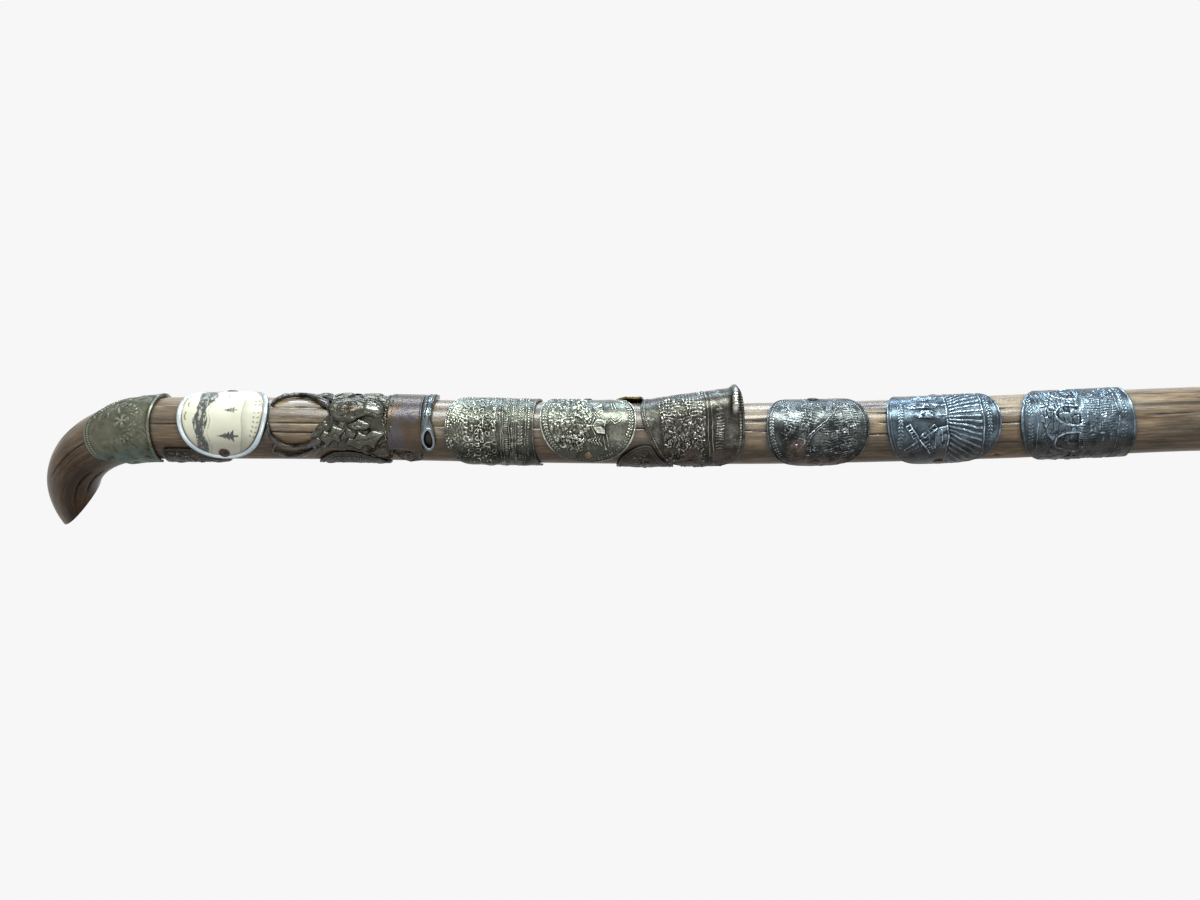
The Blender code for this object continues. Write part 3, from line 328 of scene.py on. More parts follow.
def stripes(place, gain=1.3):
    """Rounded stripes, one to each whole number of the place, from 0 between them to 1 on top."""
    return unit(gain * np.cos(2 * math.pi * place))


def within(place, low, high, soft_low, soft_high):
    """1 between two places and 0 outside them, with soft ends."""
    return rise(place, low, soft_low) * fall(place, high, soft_high)


def course(*points):
    """A smooth course through some drawing places."""
    return [tuple(point) for point in smooth_course(points)]


class Relief:
    """Heights over a flat sheet, in millimetres, with stains and a rubbing for a finish to read, both partly
    painted light.
    """

    def __init__(self, along, around, outline=(), wobble=0.0):
        self.along = along
        self.around = around
        if wobble:
            self.along = along + wobble * (layered_noise(along, around, 4.0, 301) - 0.5)
            self.around = around + wobble * (layered_noise(along, around, 4.0, 305) - 0.5)
        self.height = np.zeros(along.shape)
        # The stains also carry painted shade and sheen, and the rubbing carries painted highlight and shade.
        self.stain_and_painted_light = np.zeros(along.shape)
        self.rubbed_and_lit = np.zeros(along.shape)
        self.picture = None
        if outline:
            level = Relief(along, around)
            self.inside = np.clip(level.inside_of(outline), 0.0, None)
            self.arc = level.measure(outline, closed=True)[1]

    def measure(self, points, closed=False):
        """Distance from a path, how far along it the nearest point lies, and on which side."""
        best = np.full(self.along.shape, 1e9)
        arc = np.zeros(self.along.shape)
        side = np.zeros(self.along.shape)
        run = 0.0
        ends = points[1:] + points[:1] if closed else points[1:]
        for (a0, v0), (a1, v1) in zip(points, ends):
            step_a, step_v = a1 - a0, v1 - v0
            length = math.hypot(step_a, step_v)
            if length < 1e-9:
                continue
            share = unit(((self.along - a0) * step_a + (self.around - v0) * step_v) / length ** 2)
            gap_a = self.along - a0 - share * step_a
            gap_v = self.around - v0 - share * step_v
            gap = np.hypot(gap_a, gap_v)
            nearer = gap < best
            best = np.where(nearer, gap, best)
            arc = np.where(nearer, run + share * length, arc)
            side = np.where(nearer, np.sign(step_a * gap_v - step_v * gap_a), side)
            run += length
        return best, arc, side

    def inside_of(self, outline):
        """Distance inside a closed outline. It is less than zero outside."""
        crossings = np.zeros(self.along.shape, int)
        for (a0, v0), (a1, v1) in zip(outline, outline[1:] + outline[:1]):
            if v0 == v1:
                continue
            over = (v0 > self.around) != (v1 > self.around)
            crossings += over & (self.along < (a1 - a0) * (self.around - v0) / (v1 - v0) + a0)
        return np.where(crossings % 2 == 1, 1.0, -1.0) * self.measure(outline, closed=True)[0]

    def away(self, along, around, size_a=1.0, size_v=1.0):
        """How far off a place is, as a share of one size along the stick and another round it."""
        return np.hypot((self.along - along) / size_a, (self.around - around) / size_v)

    def raise_to(self, level):
        self.height = np.maximum(self.height, level)

    def near(self, points, reach):
        """The part of the sheet round some points, and where it is."""
        points = np.array(points)[:, :2]
        low, high = points.min(0) - reach, points.max(0) + reach
        where = ((self.along > low[0]) & (self.along < high[0])
                 & (self.around > low[1]) & (self.around < high[1]))
        return Relief(self.along[where], self.around[where]), where

    def ridge(self, points, width, height):
        part, where = self.near(points, width)
        self.height[where] += height * unit(1 - (2 * part.measure(points)[0] / width) ** 2)

    def strokes(self, width, height, *where):
        """Short ridges at random places, as scattered gives them."""
        for stroke in scattered(*where):
            self.ridge(stroke, width, height)

    def groove(self, points, width, depth):
        self.ridge(points, width, -depth)

    def shape(self, outline, height, slope=0.25):
        """A flat-topped raised shape with sloping edges. A height below zero presses it in."""
        part, where = self.near(outline, slope)
        self.height[where] += height * ease(part.inside_of(outline) / slope + 0.2)

    def house(self, low, middle, half, tall, roof, height):
        """A gabled house that stands at low, with its roof towards the crook. Gives its outline."""
        eaves = low - tall
        walls = [(low, middle - half), (low, middle + half), (eaves, middle + half), (eaves - roof, middle),
                 (eaves, middle - half)]
        self.shape(walls, height, 0.2)
        return walls

    def fir(self, tip, middle, rows, pitch, half, spread):
        """Pairs of drooping branches below a tip, each pair wider than the last."""
        for row in range(rows):
            start = tip + pitch * row
            for side in (-1, 1):
                end = (start + 0.8, middle + side * (half + spread * row))
                self.ridge([(start, middle), end], 0.39, 0.24)

    def band_line(self, along, width, height, seed):
        """A line round the stick that wanders a little and is worn away in places."""
        line = along + 0.5 * (self.waver(3.0, seed) - 0.5)
        kept = ease((self.lumps(1.6, seed + 3) - 0.22) / 0.2)
        self.height += kept * height * unit(1 - (2 * (self.along - line) / width) ** 2)

    def hatch(self, low, high, pitch, height, seed, where=1.0):
        """A band of fine lines along the stick, between two places on it."""
        line = stripes(self.around / pitch + 1.3 * self.lumps(2.4, seed))
        self.height += where * height * line * ease((self.along - low) / 0.25) * ease((high - self.along) / 0.25)

    def pillow(self, outline, height, slope):
        """A rounded raised shape, highest in its middle."""
        depth = self.inside_of(outline)
        swell = np.sin(unit(depth / slope) * math.pi / 2) ** 0.7
        share = ease(depth / 0.25 + 0.5)
        self.height = self.height * (1 - share) + np.maximum(0.25 * self.height, height * swell) * share

    def dome(self, along, around, radius, height, stretch=1.0, lean=0.0):
        """An oval boss, longer by the stretch in the direction of its lean."""
        a, v = self.along - along, self.around - around
        turned_a = a * math.cos(lean) + v * math.sin(lean)
        turned_v = v * math.cos(lean) - a * math.sin(lean)
        gap = (turned_a / (radius * stretch)) ** 2 + (turned_v / radius) ** 2
        self.raise_to(height * np.sqrt(unit(1 - gap)) + np.where(gap < 1, 0.3 * self.height, 0.0))

    def beads(self, gap, arc, pitch, radius, height, where=1.0):
        """A row of beads along a path, from the distances to it."""
        step = (arc + pitch / 2) % pitch - pitch / 2
        self.raise_to(where * height * np.sqrt(unit(1 - (gap ** 2 + step ** 2) / radius ** 2)))

    def edge_beads(self, inset, pitch, radius, height, where=1.0):
        self.beads(np.abs(self.inside - inset), self.arc, pitch, radius, height, where)

    def edge_line(self, inset, width, height, where=1.0):
        self.raise_to(where * height * unit(1 - (2 * (self.inside - inset) / width) ** 2))

    def laurel(self, gap, arc, pitch, length, height, where=1.0):
        """Pairs of leaves along a path, each pair with a bead between. The gap is signed across the path."""
        step = (arc % pitch) / pitch - 0.5
        for side in (-1.0, 1.0):
            across = gap * side - 0.30 * length
            lean = step * pitch - 0.45 * across
            leaf = (across / (0.30 * length)) ** 2 + (lean / (0.30 * pitch)) ** 2
            self.raise_to(where * height * np.sqrt(unit(1 - leaf)))
        self.beads(gap, arc, pitch, 0.16 * pitch, height, where)

    def pebbles(self, size, height, seed, where):
        self.height += where * height * pebble_field(self.along, self.around, size, seed)

    def rough(self, size, height, seed, where=1.0, layers=3):
        self.height += where * height * (self.lumps(size, seed, layers) - 0.5)

    def lumps(self, size, seed, layers=3):
        return layered_noise(self.along, self.around, size, seed, layers)

    def waver(self, size, seed):
        """From 0 to 1 round the stick, the same all along it: for lines that wander."""
        return layered_noise(self.around, 0.0, size, seed)

    def patch(self, size, seed, level, soft):
        """Patches of about that size: 1 in them and 0 between."""
        return ease((self.lumps(size, seed) - level) / soft)

    def crumple(self, height, seed):
        """Small dents and lumps of mixed sizes, as on old thin sheet."""
        self.rough(2.6, 1.4 * height, seed)
        self.rough(0.9, height, seed + 5, layers=2)

    def worn(self, size, least, seed):
        """Rubs the drawing down in patches, to no less than that share of its height."""
        kept = ease((self.lumps(size, seed) - 0.30) / 0.36)
        self.height *= least + (1 - least) * kept

    def worn_twice(self, size, least, seed):
        """Rubs the drawing down in broad patches and then in small ones."""
        self.worn(size, least, seed)
        self.worn(1.5, 0.40, seed + 300)

    def blank(self, size, height, seed, dents, width, edge):
        """The bare sheet: broad lumps of that size, small dents, and a raised edge of that width."""
        self.rough(size, height, seed)
        self.crumple(dents, seed + 2)
        self.rim(width, edge)

    def rim(self, width, height):
        """A raised rounded edge all round the sheet."""
        self.raise_to(height * unit(1 - ((self.inside - width / 2) / (width / 2)) ** 2) ** 0.5)
        self.raise_to(np.where(self.inside < width / 2, height * 0.9, 0.0))


# Turning drawings into pieces


def local_mean(grid, reach):
    """The mean over a square round each cell of a grid."""
    padded = np.pad(grid, reach, mode="edge")
    for axis in (0, 1):
        total = np.cumsum(padded, axis=axis)
        total = np.concatenate([np.zeros_like(np.take(total, [0], axis=axis)), total], axis=axis)
        window = 2 * reach + 1
        high = np.take(total, range(window, total.shape[axis]), axis=axis)
        low = np.take(total, range(0, total.shape[axis] - window), axis=axis)
        padded = (high - low) / window
    return padded


UNDERSIDE_STEP = 8


def grid_sheet(columns, rows):
    """A closed flat sheet: a fine grid at height 1 over a coarse one at height 0."""
    bm = bmesh.new()
    for step, height in ((UNDERSIDE_STEP, 0), (1, 1)):
        bmesh.ops.create_grid(bm, x_segments=columns // step, y_segments=rows // step, size=1.0,
                              matrix=Matrix.Translation((0, 0, height)))
    bmesh.ops.bridge_loops(bm, edges=[edge for edge in bm.edges if edge.is_boundary])
    bmesh.ops.recalc_face_normals(bm, faces=bm.faces)
    return as_mesh(bm, "sheet")


def as_mesh(bm, name):
    mesh = bpy.data.meshes.new(name)
    bm.to_mesh(mesh)
    bm.free()
    return mesh


def each_once(items):
    """The items without repeats, in their own order, so that each run is the same."""
    return list(dict.fromkeys(items))


def read_points(mesh):
    points = np.empty(len(mesh.vertices) * 3)
    mesh.vertices.foreach_get("co", points)
    return points.reshape(-1, 3)


def write_points(mesh, points):
    mesh.vertices.foreach_set("co", np.asarray(points, np.float32).ravel())
    mesh.update()


def write_values(mesh, name, values):
    """A named number for each point, or a named vector if there are three to a point."""
    kind = "FLOAT" if np.ndim(values) == 1 else "FLOAT_VECTOR"
    layer = mesh.attributes.new(name, kind, "POINT")
    layer.data.foreach_set("value" if kind == "FLOAT" else "vector", np.asarray(values, np.float32).ravel())


def add_piece(name, mesh, look, slot, nodes, sharp_degrees=50):
    """Puts a finished mesh into the scene as a piece that stands for the named nodes."""
    mesh.name = name
    mesh.shade_smooth()
    mesh.set_sharp_from_angle(angle=math.radians(sharp_degrees))
    mesh.materials.append(look)
    piece = bpy.data.objects.new(name, mesh)
    bpy.context.scene.collection.objects.link(piece)
    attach(piece, "root")
    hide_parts(*nodes)


def reach_at(outline, angles):
    """How far an outline about zero reaches at some angles."""
    turns = np.arctan2(outline[:, 1], outline[:, 0])
    order = np.argsort(turns)
    return np.interp(angles, turns[order], np.hypot(outline[:, 0], outline[:, 1])[order], period=2 * math.pi)


def round_to_outline(across, up, outline):
    """Spreads the square from -1 to 1 over an outline, with its edge on the outline's edge."""
    x = across * np.sqrt(1 - up ** 2 / 2)
    y = up * np.sqrt(1 - across ** 2 / 2)
    points = np.array(outline)
    low, high = points.min(0), points.max(0)
    middle, half = (low + high) / 2, (high - low) / 2
    reach = reach_at((points - middle) / half, np.arctan2(y, x))
    return middle[0] + x * reach * half[0], middle[1] + y * reach * half[1]


# How a pressed sheet is worked out, in millimetres: the reaches of the two means that tell what stands proud, and
# how far the sheet's edge is rounded down. The last is painted shade: how much darker the side turned down is
# drawn.
CLOSE_REACH, WIDE_REACH = 0.5, 1.8
EDGE_ROUNDING = 0.16
LOW_SIDE_PAINTED_SHADE = 0.22


def pressed_mesh(badge, draw, columns, rows, outline=None, low=CLEARANCE, thickness=SHEET, lift_more=None,
                 wobble=1.2, deeper=1.0, contrast=2.7):
    """A sheet pressed with a drawing and wrapped onto the stick.

    Its named values are: relief, from 0 in the hollows to 1 on what stands proud, lower on the side turned down as
    painted shade; the stains, with painted shade and sheen in them; and flat, its drawing place and height in
    metres.
    """
    outline = outline or badge.drawn()
    mesh = grid_sheet(columns, rows)
    points = read_points(mesh)
    column = np.rint((points[:, 0] + 1) / 2 * columns).astype(int)
    row = np.rint((points[:, 1] + 1) / 2 * rows).astype(int)
    up, across = np.meshgrid(np.linspace(-1, 1, rows + 1), np.linspace(-1, 1, columns + 1), indexing="ij")
    along, around = round_to_outline(across, up, outline)
    drawing = Relief(along, around, outline, wobble)
    draw(drawing)
    drawing.height *= deeper
    cell = (max(point[0] for point in outline) - min(point[0] for point in outline)) / columns
    close, wide = (local_mean(drawing.height, round(reach / cell)) for reach in (CLOSE_REACH, WIDE_REACH))
    proud = drawing.height - close * 0.65 - wide * 0.35
    # Painted shade: the side turned down is drawn darker.
    painted_low_shade = LOW_SIDE_PAINTED_SHADE * fall(around, -2.0, 9.0)
    values = {
        "relief": unit(0.5 + contrast * proud + drawing.rubbed_and_lit - painted_low_shade),
        "stain_and_painted_light": unit(drawing.stain_and_painted_light),
        "flat": np.stack([along, around, drawing.height], axis=-1) * MM,
    }
    if drawing.picture is not None:
        values["picture"] = drawing.picture
    edge = EDGE_ROUNDING * (1 - ease(drawing.inside / 0.25))
    lift = low + thickness + (drawing.height * bpy.context.scene.stick_badges.relief - edge) * MM
    more = lift_more(along, around) if lift_more else np.zeros(along.shape)
    lifts = np.where(points[:, 2] > 0.5, lift[row, column], low) + more[row, column]
    write_points(mesh, badge.place(along[row, column], around[row, column], lifts))
    for name, grid in values.items():
        write_values(mesh, name, grid[row, column])
    return mesh


def add_badges(rows):
    """Adds pressed pieces and gives the looks of their metals.

    Each row is a piece: its name, badge, drawing, columns and lines of points, metal, slot, and what else its mesh
    is told.
    """
    looks = {}
    for name, badge, draw, columns, lines, metal, slot, settings in rows:
        if metal not in looks:
            looks[metal] = metal_look(metal)
        mesh = pressed_mesh(badge, draw, columns, lines, **settings)
        add_piece(name, mesh, looks[metal], slot, ["badge_stag" if badge is STAG else "badge_" + name])
    return looks


# Finishes


def new_look(name):
    look = bpy.data.materials.new(name)
    look.use_nodes = True
    tree = look.node_tree
    return look, tree, tree.nodes["Principled BSDF"]


def node(tree, kind, **settings):
    made = tree.nodes.new("ShaderNode" + kind)
    for key, value in settings.items():
        setattr(made, key, value)
    return made


def feed(made, sockets):
    """Links other nodes' outputs to a node's sockets, or sets the sockets to plain values."""
    for socket, value in sockets.items():
        if isinstance(value, bpy.types.NodeSocket):
            made.id_data.links.new(value, made.inputs[socket])
        else:
            made.inputs[socket].default_value = value


def fed(tree, kind, output, sockets, **settings):
    """One output of a new node with its sockets fed."""
    made = node(tree, kind, **settings)
    feed(made, sockets)
    return made.outputs[output]


def value_of(tree, name, output="Fac"):
    return node(tree, "Attribute", attribute_name=name).outputs[output]


def object_place(tree):
    return node(tree, "TexCoord").outputs["Object"]


def mapped(source, scale):
    return fed(source.id_data, "Mapping", "Vector", {"Vector": source, "Scale": scale})


def noise(source, scale, detail, roughness):
    return fed(source.id_data, "TexNoise", "Fac",
               {"Vector": source, "Scale": scale, "Detail": detail, "Roughness": roughness})


def maths(operation, first, second, clamp=False):
    return fed(first.id_data, "Math", 0, {0: first, 1: second}, operation=operation, use_clamp=clamp)


def mixture(*shares):
    """The sum of some values, each times its share."""
    total = None
    for value, share in shares:
        part = maths("MULTIPLY", value, share)
        total = part if total is None else maths("ADD", total, part)
    return total


def span(source, from_low, from_high, to_low=0.0, to_high=1.0):
    return fed(source.id_data, "MapRange", "Result",
               {"Value": source, "From Min": from_low, "From Max": from_high, "To Min": to_low, "To Max": to_high})


def ramp(source, stops):
    made = node(source.id_data, "ValToRGB")
    feed(made, {"Fac": source})
    elements = made.color_ramp.elements
    while len(elements) < len(stops):
        elements.new(0.5)
    for element, (position, colour) in zip(elements, stops):
        element.position = position
        element.color = (*colour[:3], 1.0)
    return made.outputs["Color"]


def blend(share, first, second, kind="MIX"):
    first, second = (value if isinstance(value, bpy.types.NodeSocket) else (*value[:3], 1.0)
                     for value in (first, second))
    return fed(share.id_data, "Mix", 2, {0: share, 6: first, 7: second}, data_type="RGBA", blend_type=kind)


def bumped(height, distance, strength):
    return fed(height.id_data, "Bump", "Normal", {"Distance": distance, "Strength": strength, "Height": height})


def mix_shaders(share, first, second):
    return fed(share.id_data, "MixShader", 0, {0: share, 1: first, 2: second})


def seen_directly(tree):
    """1 for what the camera sees, also in gloss and through clear things, and 0 for plain light."""
    rays = node(tree, "LightPath").outputs
    seen = maths("MAXIMUM", rays["Is Camera Ray"], rays["Is Glossy Ray"])
    return maths("MAXIMUM", seen, rays["Is Transmission Ray"])


# Each metal's colours where it is polished, plain, hollow, and toned by stains, painted shade and sheen, and its
# roughness where it is worn bright and where it is dull. A word in the place of the plain colour names its setting.
METALS = {
    "olive bronze": ((0.34, 0.36, 0.31), "bronze", (0.03, 0.032, 0.024), (0.09, 0.135, 0.11), 0.32, 0.60),
    "pale tin": ((0.66, 0.75, 0.78), "tin", (0.10, 0.12, 0.13), (0.08, 0.07, 0.05), 0.20, 0.42),
    "stag's silver": ((0.20, 0.21, 0.18), (0.06, 0.06, 0.048), (0.01, 0.009, 0.007), (0.07, 0.05, 0.034),
                      0.13, 0.34),
    "antlers' silver": ((0.20, 0.24, 0.26), (0.034, 0.036, 0.03), (0.01, 0.01, 0.008), (0.07, 0.044, 0.028),
                        0.12, 0.34),
    # The plaque's stain colour is also its painted purple-blue sheen.
    "copper plaque": ((0.15, 0.116, 0.09), (0.074, 0.055, 0.041), (0.026, 0.019, 0.014), (0.06, 0.062, 0.082),
                      0.27, 0.40),
    "tarnished silver": ((0.66, 0.68, 0.56), "silver", (0.008, 0.0088, 0.0085), (0.045, 0.042, 0.026), 0.17, 0.46),
    "grey silver": ((0.38, 0.43, 0.44), (0.026, 0.03, 0.03), (0.008, 0.009, 0.009), (0.10, 0.06, 0.038),
                    0.17, 0.46),
    "dark bronze": ((0.40, 0.41, 0.36), "dark_bronze", (0.01, 0.009, 0.007), (0.046, 0.028, 0.017), 0.17, 0.46),
    "blue-grey pewter": ((0.43, 0.57, 0.68), "pewter", (0.009, 0.011, 0.013), (0.036, 0.032, 0.029), 0.17, 0.44),
    "dark worn bronze": ((0.22, 0.22, 0.20), (0.05, 0.046, 0.04), (0.014, 0.013, 0.011), (0.04, 0.028, 0.018),
                         0.24, 0.55),
    "dull pewter": ((0.24, 0.25, 0.24), (0.055, 0.058, 0.054), (0.018, 0.019, 0.017), (0.04, 0.036, 0.026),
                    0.24, 0.52),
    "dull brass": ((0.58, 0.48, 0.27), "brass", (0.045, 0.032, 0.014), (0.07, 0.04, 0.018), 0.28, 0.55),
}


def metal_look(name):
    """Pressed metal: worn bright where proud, dark in hollows, blotched and tarnished, with painted shade and
    sheen.
    """
    polished, plain, hollow, stain_and_painted_light, gloss, dull = METALS[name]
    if isinstance(plain, str):
        plain = getattr(bpy.context.scene.stick_badges, plain)
    look, tree, shader = new_look(name)
    place = value_of(tree, "flat", "Vector")
    blotch = noise(place, 200.0, 5.0, 0.62)
    speck = noise(place, 1500.0, 4.0, 0.65)
    # The relief is already lowered on the side turned down, which paints shade there.
    wear = maths("ADD", value_of(tree, "relief"), maths("MULTIPLY", maths("SUBTRACT", blotch, 0.5), 0.46))
    wear = maths("ADD", wear, maths("MULTIPLY", maths("SUBTRACT", speck, 0.5), 0.20), clamp=True)
    rubbed_and_lit = [0.62 * p + 0.38 * q for p, q in zip(plain, polished)]
    colour = ramp(wear, ((0.22, hollow), (0.44, plain), (0.68, rubbed_and_lit), (0.90, polished)))
    # The stains also paint shade on the lower sides, and a sheen on the plaque's upper side.
    toned = maths("MULTIPLY", value_of(tree, "stain_and_painted_light"), span(blotch, 0.36, 0.58), clamp=True)
    feed(shader, {
        "Base Color": blend(toned, colour, stain_and_painted_light),
        "Roughness": span(wear, 0.15, 0.85, dull, gloss),
        "Metallic": span(toned, 0.0, 1.0, 1.0, 0.35),
        "Normal": bumped(maths("ADD", speck, blotch), 0.00008, 0.8),
    })
    return look


# Settings that a user would change


def colour_setting(name, description, default):
    return FloatVectorProperty(name=name, description=description, default=default, size=3, subtype="COLOR",
                               min=0.0, max=1.0)


class StickWoodSettings(bpy.types.PropertyGroup):
    """The wood's colours and how deep its cracks are."""

    light: colour_setting("Light grain", "Colour of the pale streaks", (0.286, 0.224, 0.146))
    middle: colour_setting("Middle grain", "Colour of most of the wood", (0.134, 0.092, 0.049))
    dark: colour_setting("Dark grain", "Colour of the dark streaks", (0.062, 0.038, 0.017))
    crack_depth: FloatProperty(name="Crack depth", description="Depth of the long cracks", default=0.0005,
                               min=0.0, max=0.001, unit="LENGTH", precision=5)


class StickBadgeSettings(bpy.types.PropertyGroup):
    """How high the pressed relief stands, and the colours of the metals."""

    relief: FloatProperty(name="Relief", description="Height of the pressed drawings, as a share of their own",
                          default=1.0, min=0.2, max=1.5, subtype="FACTOR")
    bronze: colour_setting("Olive bronze", "Metal of the shield on the crook", (0.104, 0.104, 0.070))
    dark_bronze: colour_setting("Dark bronze", "Metal of the flared badge", (0.032, 0.031, 0.026))
    pewter: colour_setting("Pewter", "Metal of the blue-grey badges", (0.040, 0.053, 0.064))
    silver: colour_setting("Silver", "Metal of the tarnished silver badges", (0.066, 0.070, 0.058))
    brass: colour_setting("Brass", "Metal of the badge on the back", (0.20, 0.155, 0.070))
    copper: colour_setting("Copper", "Metal of the nails", (0.070, 0.050, 0.040))
    tin: colour_setting("Tin", "Metal of the disc's cup", (0.36, 0.44, 0.48))
    print_cream: colour_setting("Print cream", "Ground of the printed disc", (0.78, 0.76, 0.60))


class StickStageSettings(bpy.types.PropertyGroup):
    """The floor, the backdrop and the lamps."""

    floor: colour_setting("Floor", "Colour of the floor", (0.80, 0.80, 0.79))
    backdrop: colour_setting("Backdrop", "Colour seen behind the stick", (0.93, 0.93, 0.93))
    key_power: FloatProperty(name="Key light", description="Power of the large soft light", default=16.5,
                             min=0.0, unit="POWER")
    fill_power: FloatProperty(name="Fill light", description="Power of the light beside the camera", default=2.0,
                              min=0.0, unit="POWER")
    surround: FloatProperty(name="Surrounding light", description="Strength of the even light from all sides",
                            default=0.23, min=0.0, max=2.0)


# Wood

# Long cracks: where each starts and ends down the stick, its place around, its width, and how far it wanders, in mm
CRACKS = (
    (-44, -16, -1.0, 0.60, 0.5), (-58, -24, 7.5, 0.35, 0.6), (-53, -28, -10.0, 0.50, 0.8),
    (-47, -26, -14.0, 0.40, 0.8), (-2, 12, 1.2, 0.60, 0.3), (36, 60, 7.4, 0.45, 0.4), (36, 58, 1.5, 0.55, 0.3),
    (38, 59, -1.6, 0.50, 0.3), (88, 132, 1.1, 0.75, 0.3), (96, 128, -2.4, 0.35, 0.4), (152, 166, 1.6, 0.5, 0.3),
    (186, 204, 4.0, 0.75, 0.3), (190, 206, 0.6, 0.40, 0.3), (228, 286, 6.2, 0.80, 0.4),
    (226, 246, -1.2, 0.45, 0.3), (268, 290, 1.0, 0.40, 0.3), (268, 284, -5.4, 0.40, 0.3),
    (310, 470, 5.0, 1.05, 0.8), (330, 420, -3.2, 0.35, 0.6), (200, 380, 26.0, 0.7, 1.0),
    (20, 150, -27.0, 0.7, 1.0), (420, 640, 24.0, 0.7, 1.2), (470, 700, -9.0, 0.6, 1.2),
    (-40, 60, 31.0, 0.6, 0.8), (560, 740, 12.0, 0.5, 1.0), (250, 470, -22.0, 0.6, 1.0),
    (318, 356, 10.5, 0.55, 0.3), (322, 344, 2.2, 0.40, 0.3), (338, 372, 7.6, 0.45, 0.4),
    (208, 240, 9.4, 0.45, 0.3), (236, 240, 2.6, 0.5, 0.2),
)
KNOTS = ((276.0, -11.0, 2.6), (372.0, 8.0, 3.0), (520.0, -20.0, 3.4), (602.0, 14.0, 3.0), (130.0, 30.0, 2.8))
# The wood's rings of points: how many points are in each, how close the rings lie where the badges are, where that
# ends, and how many more there are down to the ferrule
WOOD_SIDES = 168
RING_SPACING = 0.00115
CLOSE_RINGS_END = 0.372
FAR_RINGS = 118


def wood_stations():
    """Places along the stick for its rings of points, close together where the badges are."""
    crook = -CROOK_RADIUS * CROOK_ANGLE - 0.008
    fine = np.arange(crook, CLOSE_RINGS_END, RING_SPACING)
    coarse = np.linspace(CLOSE_RINGS_END, MOUTH_DOWN + 0.004, FAR_RINGS)
    return np.concatenate([fine, coarse, [STRAIGHT_LENGTH]])


class STICK_OT_wood(bpy.types.Operator):
    """Builds the grained wooden stick with its cracks and its slanted crook end"""

    bl_idname = "stick.wood"
    bl_label = "Wood"

    def execute(self, context):
        settings = context.scene.stick_wood
        stations = wood_stations()
        bm = bmesh.new()
        bmesh.ops.create_grid(bm, x_segments=WOOD_SIDES, y_segments=len(stations) - 1, size=1.0)
        mesh = as_mesh(bm, "wood")
        points = read_points(mesh)
        down = stations[np.rint((points[:, 1] + 1) / 2 * (len(stations) - 1)).astype(int)]
        turn = -math.pi * points[:, 0]
        radius = wood_radius(down)
        crack, dent = wood_cracks(down / MM, turn * radius / MM, radius / MM)
        lift = -settings.crack_depth * crack + dent * MM
        lift = np.where(down > MOUTH_DOWN, 0.0, lift)
        write_points(mesh, on_stick(down, turn, lift))
        straight = np.stack([radius * np.cos(turn), radius * np.sin(turn), down], axis=-1)
        write_values(mesh, "straight", straight)
        write_values(mesh, "crack", crack)
        write_values(mesh, "grime_and_shadow", wood_grime_and_shadow(down / MM, turn * radius / MM))
        bm = bmesh.new()
        bm.from_mesh(mesh)
        bmesh.ops.remove_doubles(bm, verts=bm.verts, dist=0.000001)
        edges = [edge for edge in bm.edges if edge.is_boundary]
        bmesh.ops.holes_fill(bm, edges=edges, sides=0)
        bmesh.ops.recalc_face_normals(bm, faces=bm.faces)
        mitre_crook(bm)
        bm.to_mesh(mesh)
        bm.free()
        add_piece("wood", mesh, wood_look(settings), "wood", ["stick_wood"], 60)
        return {"FINISHED"}


def round_gap(around, place, girth):
    """How far round a stick of that girth one place is from another, the shorter way."""
    return (around - place + girth / 2) % girth - girth / 2


def wood_cracks(down, around, radius):
    """How cracked the wood is at each point, from 0 to 1, and its swells and dents in millimetres."""
    crack = np.zeros(down.shape)
    girth = 2 * math.pi * radius
    for number, (start, end, place, width, wander) in enumerate(CRACKS):
        line = place + wander * 2 * (layered_noise(down, number * 7.3, 16.0, 40 + number) - 0.5)
        gap = np.abs(round_gap(around, line, girth))
        share = unit((down - start) / (end - start))
        taper = unit(4 * np.minimum(share, 1 - share)) ** 0.5
        ragged = 0.65 + 0.7 * layered_noise(down, number * 3.1, 5.0, 90 + number)
        crack = np.maximum(crack, taper * unit(1.25 - gap / (width * 0.5 * ragged + 0.05)))
    swell = 0.16 * (layered_noise(down * 0.35, around * 1.2, 9.0, 7) - 0.5)
    swell += 0.07 * (layered_noise(down * 0.12, around, 1.4, 9, 2) - 0.5)
    for along, place, size in KNOTS:
        gap = np.hypot((down - along) / 1.5, round_gap(around, place, girth))
        swell += 0.22 * unit(1 - (gap / (1.8 * size)) ** 2) - 0.35 * unit(1 - (gap / (0.35 * size)) ** 2)
        crack = np.maximum(crack, 0.8 * unit(1 - (gap / (0.3 * size)) ** 2))
    return crack, swell


def wood_grime_and_shadow(down, around):
    """Dark soiling and painted shadow along the badges' edges, from 0 to 1."""
    grime_and_shadow = np.zeros(down.shape)
    for badge in SOLID_BADGES:
        outline = badge.drawn()
        near = (down > min(p[0] for p in outline) - 3) & (down < max(p[0] for p in outline) + 3)
        reach = badge.radius / MM
        middle = badge.turn * reach
        on_sheet = around[near] * reach / (wood_radius(down[near] * MM) / MM)
        sheet = Relief(down[near], round_gap(on_sheet, middle, 2 * math.pi * reach) + middle)
        close = unit(1 + sheet.inside_of(outline[::3]) / 2.0) ** 1.6
        grime_and_shadow[near] = np.maximum(grime_and_shadow[near], close)
    return grime_and_shadow


def crook_point(bend, reach):
    return Vector((reach * math.cos(bend) - CROOK_RADIUS, 0, BEND_HEIGHT + reach * math.sin(bend)))


